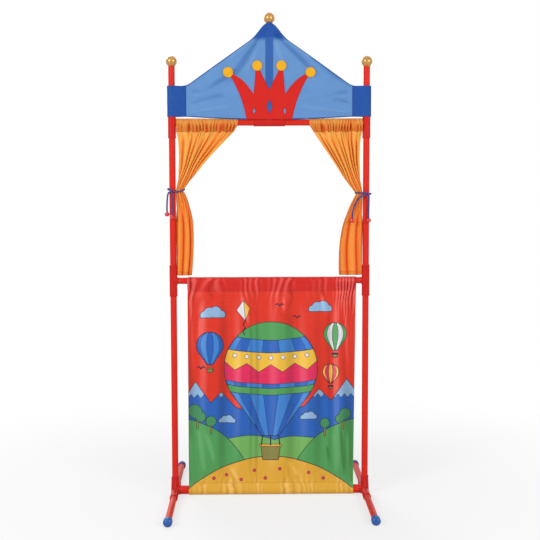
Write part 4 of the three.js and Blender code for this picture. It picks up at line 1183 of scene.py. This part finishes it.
u = np.linspace(0, 1, PANEL_COLUMNS)[None]
gathers = math.pi * (25 * u + 4 * smooth_step(u, 0.84, 1.0) + wandering(u, 1.3, 0.6))
bunched = 1.2 * smooth_step(u, 0.84, 0.92) + 0.7 * (1 - smooth_step(u, 0.03, 0.13))
pucker_size = np.clip(0.7 + wandering(u, 2.1, 0.3) + wandering(u, 5.1, 0.4), 0.05, 2) + bunched
slant = 1.7 * np.sin(2 * math.pi * 2.2 * u + 0.6)
low_gathers = math.pi * (30 * u + wandering(u, 1.9, 0.5))
low_slant = 1.3 * np.sin(2 * math.pi * 2.9 * u + 2.0)
low_size = np.clip(0.8 + wandering(u, 2.7, 0.4) + wandering(u, 6.1, 0.4), 0.05, 2)


def drape_rise(x, z):
    """The rise of the long folds: each is rise x exp(-(across / half)2), faded in and out along its run."""
    total = 0
    for top_x, top_z, low_x, low_z, half, rise in DRAPE_FOLDS:
        run = (top_z - z) / (top_z - low_z)
        ridge = rise * np.exp(-((x - toward(top_x, low_x, run)) / half)**2)
        total = total + ridge * smooth_step(run, -0.1, 0.3) * (1 - smooth_step(run, 0.6, 1.1))
    return total


def header_pucker(level):
    """The header's gathers at a level, 0 on top of its rail and 1 at its seam: slanting puffs whose
    lines wander."""
    return puffed(gathers + slant * level + 0.45 * np.sin(2 * math.pi * 4.3 * u + 5 * level))


def hem_pucker(level):
    """The hem's gathers at a level, 0 at its seam, up or down from there."""
    return puffed(low_gathers + low_slant * level + 0.35 * np.sin(2 * math.pi * 6.1 * u + 4 * level))


# The header: its back up to the rail, the loop over it and its front down to the seam.
bow = np.linspace(math.radians(-22), math.radians(192), LOOP_ROWS)[:, None]
lowness = (1 - np.sin(bow)) / 2
front_level = toward(lowness[-1], 1, steps)
reach = RAIL_LOOP + (0.0006 + 0.0026 * lowness) * (0.45 + 0.4 * header_pucker(lowness)) * pucker_size
loop_y = reach * np.cos(bow)
loop_z = MIDDLE_RAIL + reach * np.sin(bow)
back_y = toward(PANEL_PLANE + HEADER_HALF_DEPTH, loop_y[:1], steps)
back_y = back_y + 0.0006 * header_pucker(lowness[:1]) * bulge
front_y = toward(loop_y[-1:], PANEL_PLANE - HEADER_HALF_DEPTH, steps)
front_y = front_y - 0.0016 * header_pucker(front_level) * pucker_size * bulge
back = (back_y, toward(PANEL_SEAM, loop_z[:1], steps))
front = (front_y, toward(loop_z[-1:], PANEL_SEAM, steps))

# The flat of the cloth: broad folds, puckers that fade away from both seams, and the long soft folds.
flat_z = toward(PANEL_SEAM, PANEL_LOW_SEAM, np.linspace(0, 1, PANEL_ROWS)[1:, None])
below_seam = PANEL_SEAM - flat_z
over_hem = flat_z - PANEL_LOW_SEAM
at_seam = 0.35 + 0.65 * smooth_step(below_seam, 0, 0.006)
at_seam = at_seam * np.exp(-below_seam / (0.014 + 0.016 * pucker_size))
puckered = PUCKER * header_pucker(1 + below_seam / 0.06) * pucker_size * at_seam
at_hem = (0.4 + 0.6 * smooth_step(over_hem, 0, 0.005)) * np.exp(-over_hem / 0.016)
low_puckered = LOW_PUCKER * hem_pucker(over_hem / 0.03) * low_size * at_hem
up = over_hem / (PANEL_SEAM - PANEL_LOW_SEAM)
hanging = PANEL_FOLD * np.cos(2 * math.pi * PANEL_FOLD_COUNT * u) * np.sin(math.pi * (0.15 + 0.7 * up))
sway = 2 * math.pi * (11 * u + wandering(u, 1.4, 0.6)) + 0.6 * np.sin(flat_z / 0.12 + 4 * u)
ease = smooth_step(below_seam, 0, 0.08) * smooth_step(over_hem, 0, 0.08)
minor = (0.0004 + 0.0009 * smooth_step(u, 0.8, 0.9)) * np.cos(sway) * ease
drape = drape_rise(toward(PANEL_LEFT, PANEL_TOP_RIGHT, u), flat_z) * smooth_step(over_hem, 0, 0.02)
hem_front = 0.0012 * smooth_step(over_hem, 0.012, 0)
flat_y = PANEL_PLANE + hanging - hem_front - puckered - low_puckered + minor - drape

# The hem: down its front, round the bottom rail and up its back to the seam.
round_bow = np.linspace(math.radians(152), math.radians(405), LOOP_ROWS)[:, None]
round_y = BOTTOM_LOOP * np.cos(round_bow)
round_z = BOTTOM_RAIL + BOTTOM_LOOP * np.sin(round_bow)
down = steps[1:]
low_front = (toward(flat_y[-1:], round_y[:1], down) - 0.0007 * hem_pucker(-down) * low_size * bulge[1:],
             toward(PANEL_LOW_SEAM, round_z[:1], down))
low_back = (toward(round_y[-1:], PANEL_PLANE + HEM_BACK, down) + 0.0004 * hem_pucker(-1) * bulge[1:],
            toward(round_z[-1:], PANEL_LOW_SEAM, down))
panel_y, panel_z = stacked(u, back, (loop_y[1:-1], loop_z[1:-1]), front, (flat_y, flat_z), low_front,
                           (round_y[1:], round_z[1:]), low_back)
panel_right = np.interp(panel_z, [BOTTOM_RAIL, MIDDLE_RAIL], [PANEL_BOTTOM_RIGHT, PANEL_TOP_RIGHT])
near_seam = np.exp(-np.abs(panel_z - PANEL_SEAM) / 0.03)
panel_x = toward(PANEL_LEFT, panel_right, u) + 0.0008 * np.sin(gathers) * near_seam

# The print is laid out on the flat cloth. It stops two rows above the seam and behind the bottom rail.
head_rows = len(steps) + LOOP_ROWS - 2
behind_rows = LOOP_ROWS - 1 + len(down)
print_z = panel_z.copy()
print_z[:head_rows + len(steps) - 2] = PANEL_SEAM + 0.03
print_z[-behind_rows:] = 0.0
print_x = toward(PANEL_LEFT, PANEL_TOP_RIGHT, u) + 0 * print_z


def circle(x, z, radius):
    """Distance to a circle, negative inside."""
    return np.hypot(print_x - x, print_z - z) - radius


def circles(rows):
    """Inside any of the circles, each given as x, z and radius."""
    return union(*(circle(*row) for row in rows))


def polygon(*corners):
    """Distance to a polygon, negative inside."""
    return outline_distance(print_x, print_z, [np.array(corners, float)])[0]


def stroke(half_width, *points):
    """Distance to a line through the points of that half width."""
    spans = zip(points[:-1], points[1:])
    return union(*(segment_distance(print_x, print_z, a, b)[0] for a, b in spans)) - half_width


def union(*shapes):
    """Inside any of the shapes."""
    return np.minimum.reduce(shapes)


def inside(*shapes):
    """Inside all of the shapes."""
    return np.maximum.reduce(shapes)


def envelope(x, z, radius, mouth):
    """A balloon's envelope: a circle that runs tangent into a narrow mouth 1.45 radii below its middle."""
    low = z - 1.45 * radius
    side = math.radians(28)
    hip_x = radius * math.cos(side)
    hip_z = z - radius * math.sin(side)
    skirt = polygon((x - hip_x, hip_z), (x - mouth, low), (x + mouth, low), (x + hip_x, hip_z))
    return union(circle(x, z, radius), skirt)


def gores(x, z, radius, count):
    """Every other gore of a balloon: bands whose edges are ellipses at a share sin(k pi / count) of its
    width."""
    height = np.clip((print_z - z) / radius, -1.45, 0.999)
    round_width = np.sqrt(1 - np.clip(height, -0.47, 1)**2)
    width = radius * np.where(height > -0.47, round_width, 0.883 + (height + 0.47) * 0.66)
    return np.cos(count * np.arcsin(np.clip((print_x - x) / width, -1, 1))) * width / count


def basket(x, top, half, low_half, deep):
    """A basket that narrows downward."""
    return polygon((x - half, top), (x + half, top), (x + low_half, top - deep), (x - low_half, top - deep))


def cloud(x, z, size):
    """A cloud of four puffs, each of a right, an up and a radius in sizes, with a level foot."""
    puffs = ((-1.5, 0, 0.8), (-0.6, 0.5, 1), (0.6, 0.6, 1.1), (1.6, 0.1, 0.8))
    rounds = circles((x + right * size, z + up * size, radius * size) for right, up, radius in puffs)
    return inside(rounds, z - 0.45 * size - print_z)


# The large balloon (x, z, radius), with its belts, its cap, and the basket on its ropes.
BIG = (0.004, 0.385, 0.140)
SPOT_STEP = 0.036
big_envelope = envelope(*BIG, 0.026)
big_gores = inside(big_envelope, gores(*BIG, 8))
belt_x = print_x - BIG[0]
belt_z = print_z - 0.10 * belt_x**2 / BIG[2]
zigzag = 0.012 * (np.abs(((belt_x / SPOT_STEP) % 2) - 1) * 2 - 1)
belt = inside(big_envelope, np.abs(belt_z - BIG[1]) - 0.047)
zigzag_edge = inside(belt, 0.7 * (belt_z - BIG[1] - zigzag))
low_belt = inside(big_envelope, np.abs(belt_z - 0.315) - 0.010)
cap_top = inside(big_envelope, 0.470 - print_z + 0.15 * belt_x**2 / BIG[2])
spots = circles((BIG[0] + x, 0.417 + 0.10 * x**2 / BIG[2], 0.0062) for x in SPOT_STEP * np.arange(-3, 4))
ropes = union(*(stroke(0.0017, (BIG[0] + 0.024 * side, 0.182), (BIG[0] + 0.028 * side, 0.152))
                for side in (-1, 0, 1)))

# The three small balloons: each middle (x, z) and radius, its mouth, and its basket's top, half width,
# lower half width and depth.
SMALL_BALLOONS = {"blue": ((-0.178, 0.455, 0.040), 0.008, (0.386, 0.009, 0.007, 0.012)),
                  "green": ((0.196, 0.488, 0.034), 0.007, (0.429, 0.008, 0.006, 0.011)),
                  "yellow": ((0.184, 0.374, 0.024), 0.005, (0.331, 0.006, 0.004, 0.009))}
small = {}
small_gores = {}
baskets = [basket(BIG[0], 0.152, 0.030, 0.024, 0.044)]
basket_rims = [stroke(0.0035, (BIG[0] - 0.031, 0.152), (BIG[0] + 0.031, 0.152))]
for hue, (ball_place, mouth, (top, half, low_half, deep)) in SMALL_BALLOONS.items():
    small[hue] = envelope(*ball_place, mouth)
    small_gores[hue] = inside(small[hue], gores(*ball_place, 6))
    baskets.append(basket(ball_place[0], top, half, low_half, deep))
    basket_rims.append(stroke(0.0019, (ball_place[0] - half, top), (ball_place[0] + half, top)))

# The country and the sky: hills and trees are circles, each x, z and radius, trunks are x, top, foot and
# half width, clouds are x, z and size, and a bird is one bent stroke.
TREES = [(-0.224, 0.256, 0.021), (-0.207, 0.240, 0.016), (-0.176, 0.226, 0.016), (0.228, 0.246, 0.018),
         (0.212, 0.232, 0.013), (0.168, 0.218, 0.015)]
TRUNKS = [(-0.217, 0.236, 0.206, 0.003), (-0.176, 0.212, 0.190, 0.0026), (0.222, 0.230, 0.202, 0.003),
          (0.168, 0.205, 0.180, 0.0026)]
BLOOM_RADIUS = 0.0048
BLOOMS = [(-0.13, 0.062), (-0.085, 0.048), (-0.045, 0.075), (-0.012, 0.052), (0.032, 0.080), (0.120, 0.068),
          (0.165, 0.050), (-0.168, 0.052)]
CLOUDS = [(-0.170, 0.545, 0.016), (0.150, 0.562, 0.015), (-0.128, 0.226, 0.011), (0.118, 0.236, 0.011)]
BIRDS = [(0.030, 0.572), (0.082, 0.536), (-0.205, 0.385)]
WING = np.array([(-0.012, 0.005), (-0.006, 0.007), (0, 0), (0.006, 0.007), (0.012, 0.005)])
KITE = [(-0.098, 0.560), (-0.078, 0.590), (-0.058, 0.566), (-0.072, 0.528)]
KITE_TAIL = [(-0.072, 0.528), (-0.079, 0.518), (-0.072, 0.508), (-0.080, 0.497), (-0.074, 0.486)]
clouds = union(*(cloud(*row) for row in CLOUDS))
mountains = polygon((-0.27, 0.10), (-0.27, 0.27), (-0.222, 0.346), (-0.176, 0.282), (-0.145, 0.314),
                    (-0.100, 0.268), (-0.060, 0.255), (0.060, 0.255), (0.106, 0.272), (0.150, 0.322),
                    (0.186, 0.288), (0.232, 0.352), (0.28, 0.29), (0.28, 0.10))
snow = inside(mountains, 0.302 - print_z + 0.005 * np.sin(print_x / 0.0032))
field = 0.8 * (print_z - 0.118 + 1.55 * belt_x**2)
hills = circles([(-0.285, 0.000, 0.235), (0.300, -0.010, 0.245)])
far_hills = circles([(-0.060, -0.050, 0.232), (0.085, -0.065, 0.244)])
trunks = union(*(stroke(half, (x, top), (x, foot)) for x, top, foot, half in TRUNKS))
birds = union(*(stroke(0.0018, *(WING + place)) for place in BIRDS))

# Each layer over the last: its distance, its colour and the half width of its dark outline.
PRINT_BLUE = (0.016, 0.115, 0.47)
PRINT_SKY = (0.27, 0.45, 0.68)
PRINT_PINK = (0.74, 0.02, 0.10)
PRINT_YELLOW = (0.83, 0.50, 0.045)
PRINT_GREEN = (0.075, 0.33, 0.09)
PRINT_GOLD = (0.75, 0.40, 0.035)
PRINT_KHAKI = (0.24, 0.22, 0.055)
PRINT_PALE = (0.74, 0.72, 0.78)
PRINT_DARK = (0.016, 0.012, 0.03)
LAYERS = {
    "mountains": (mountains, PRINT_BLUE, 0.0009),
    "clouds": (union(clouds, snow), PRINT_SKY, 0.0008),
    "far_hills": (far_hills, (0.16, 0.42, 0.10), 0.0008),
    "hills": (hills, PRINT_GREEN, 0.0009),
    "trunks": (trunks, PRINT_KHAKI, 0.0006),
    "trees": (circles(TREES), (0.05, 0.26, 0.10), 0.0008),
    "field": (field, PRINT_GOLD, 0.0009),
    "blooms": (circles((*bloom, BLOOM_RADIUS) for bloom in BLOOMS), PRINT_PINK, 0.0006),
    "envelopes": (union(big_envelope, small["blue"]), PRINT_BLUE, 0.0011),
    "gores": (union(big_gores, small_gores["blue"]), (0.045, 0.22, 0.62), 0.0005),
    "belt": (union(belt, small["yellow"]), PRINT_YELLOW, 0.0009),
    "zigzag": (union(zigzag_edge, small_gores["yellow"]), PRINT_PINK, 0.0006),
    "green_band": (union(low_belt, cap_top, small["green"]), PRINT_GREEN, 0.0008),
    "spots": (union(spots, small_gores["green"], polygon(*KITE)), PRINT_PALE, 0.0006),
    "basket": (union(*baskets), PRINT_KHAKI, 0.0009),
    "kite_half": (union(polygon(*KITE[1:]), *basket_rims), PRINT_GOLD, 0.0007),
    "lines": (union(ropes, birds, stroke(0.0016, *KITE_TAIL)), PRINT_DARK, 0.0)}

below, distance, ink, line, half = new_group("print layer", Below="Color", Distance="Float", Ink="Color",
                                             Line="Color", Half="Float")
filled = 1 - between(distance, -0.0003, 0.0003)
lined = 1 - between(abs(distance) - half, -0.0002, 0.0003)
print_layer = finished_group(Color=mixed(lined, mixed(filled, below, ink), line))

satin, tree, place = new_material("printed red satin", "panel_satin")
threads = effect(weave, place, Pitch=0.0005)
soft = effect(grain, place, Scale=500.0)["Tone"]
height = own_value(tree, "height_on_cloth")
proud_of = own_value(tree, "proud")
colour = mixed(soft, (0.66, 0.024, 0.0085), (0.76, 0.036, 0.0125))
# Painted shade: the header above the seam, where the cloth is doubled and faces up, is mixed toward a
# darker red.
colour = mixed(between(height, PANEL_SEAM - 0.001, PANEL_SEAM + 0.001) * 0.85, colour, (0.64, 0.011, 0.007))
for layer_name, (shape, ink, line_half) in LAYERS.items():
    sockets = {"Below": colour, "Distance": own_value(tree, layer_name), "Ink": ink, "Line": PRINT_DARK,
               "Half": line_half}
    colour = Wire(add(tree, "Group", sockets, node_tree=print_layer))
colour = mixed(threads["Slub"] * 0.02, colour, (0.9, 0.85, 0.8))
# Painted shade in the folds and gathers and painted highlight on their ridges: the print is darkened or
# lightened by how far the cloth stands proud.
painted_fold_shade = 1 - between(proud_of, -0.9, 0.0)
painted_fold_highlight = between(proud_of, 0.1, 1.1)
painted_fold_light = painted_fold_highlight * 0.20 + painted_fold_shade * -0.34 + 1.0
toned = {"Color": colour, "Value": painted_fold_light, "Saturation": painted_fold_highlight * -0.10 + 1.0}
colour = Wire(add(tree, "HueSaturation", toned))
facing = coordinate(Wire(add(tree, "NewGeometry"), "True Normal"), "Y")
colour = mixed(between(facing, 0.0, 0.4) * 0.24, colour, (0.72, 0.56, 0.54))
seams = calc("MAXIMUM", *(line_at(height, seam, 0.0004, 0.0011) for seam in (PANEL_SEAM, PANEL_LOW_SEAM)))
sewn = calc("MAXIMUM", seams, line_at(own_value(tree, "side_gap"), SIDE_HEM, 0.0003, 0.0008))
colour = mixed(sewn * 0.3, colour, (0.25, 0.02, 0.01))
surface(tree, {"Base Color": colour, "Roughness": scaled(soft, 0.36, 0.46), "Specular IOR Level": 0.28,
               "Normal": bump(threads["Height"] + sewn * -3.0, 0.00004)}, through=colour, share=0.08)

head_levels = np.vstack([np.full_like(steps, lowness[0]), lowness[1:-1], front_level])
hem_levels = np.vstack([-down, np.full((behind_rows, 1), -1.0)])
# The proud attribute is how far the cloth stands out, which the material turns into painted shade and
# painted highlight.
proud = np.vstack([0.8 * header_pucker(head_levels) * pucker_size,
                   (puckered + 1.1 * low_puckered - 0.35 * hanging - 1.2 * minor + 1.2 * drape) / PUCKER,
                   0.7 * hem_pucker(hem_levels) * low_size])
side_gap = np.minimum(u, 1 - u) * (PANEL_TOP_RIGHT - PANEL_LEFT) + 0 * panel_z
values = {"height_on_cloth": panel_z, "side_gap": side_gap, "proud": proud}
values.update({layer_name: shape for layer_name, (shape, ink, line_half) in LAYERS.items()})
panel = grid_object("printed_front_cloth", np.stack([panel_x, panel_y, panel_z], axis=-1)[:, ::-1],
                    **{key: value[:, ::-1] for key, value in values.items()})
dress(thickened(panel, PANEL_CLOTH), satin, "front_panel", "front_panel")

# Floor and background: a white floor that keeps the stand's soft shadow and turns to plain white away
# from it, and a white world that is dimmer as a light than it looks.
FLOOR_HALF = 30.0
WORLD_LIGHT = 0.38
WHITE = (1, 1, 1)


def seen(tree):
    """1 for rays from the camera, from a mirror or through glass, and 0 for the light on the object."""
    rays = add(tree, "LightPath")
    camera, mirror, glass = (Wire(rays, f"Is {way} Ray") for way in ("Camera", "Glossy", "Transmission"))
    return calc("MAXIMUM", calc("MAXIMUM", camera, mirror), glass)


ends = np.array([-FLOOR_HALF, FLOOR_HALF])
floor = grid_object("floor", np.stack(np.broadcast_arrays(ends, ends[:, None], 0.0), axis=-1))
floor_white, tree, place = new_material("floor white", "")
distance = Wire(add(tree, "VectorMath", {0: place}, operation="LENGTH"), "Value")
plain = scaled(between(distance, 0.35, 1.6), 0.68, 1.0)
matt = Wire(add(tree, "BsdfDiffuse", {"Color": (0.86, 0.86, 0.86)}))
glow = Wire(add(tree, "Emission", {"Color": WHITE, "Strength": 1.0}))
shader = Wire(add(tree, "MixShader", {0: seen(tree) * plain, 1: matt, 2: glow}))
add(tree, "OutputMaterial", {"Surface": shader})
floor.data.materials.append(floor_white)
floor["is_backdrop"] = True

world = bpy.data.worlds.new("world")
world.use_nodes = True
tree = world.node_tree
tree.nodes.clear()
sky = Wire(add(tree, "Background", {"Color": WHITE, "Strength": scaled(seen(tree), WORLD_LIGHT, 1.0)}))
add(tree, "OutputWorld", {"Surface": sky})
bpy.context.scene.world = world
bpy.context.scene.view_settings.view_transform = "Standard"


def soft_light(name, place, target, size, power):
    """A square area light of that size in metres, aimed from its place at the target."""
    data = bpy.data.lights.new(name, "AREA")
    data.size = size
    data.energy = power
    back = np.array(place) - np.array(target)
    back /= np.linalg.norm(back)
    right = np.cross((0, 0, 1), back)
    right /= np.linalg.norm(right)
    aimed(name, data, place, right, np.cross(back, right), back)


soft_light("left_box", (-2.6, -2.8, 2.4), (0, 0, 0.8), 1.3, 84)
soft_light("right_box", (2.6, -2.8, 2.0), (0, 0, 0.7), 1.3, 60)
soft_light("rear_box", (-1.2, 3.4, 2.6), (0, 0, 0.8), 1.5, 62)

low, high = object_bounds()
{"cad": [list(cad_low), list(cad_high)], "visual": [list(low), list(high)]}
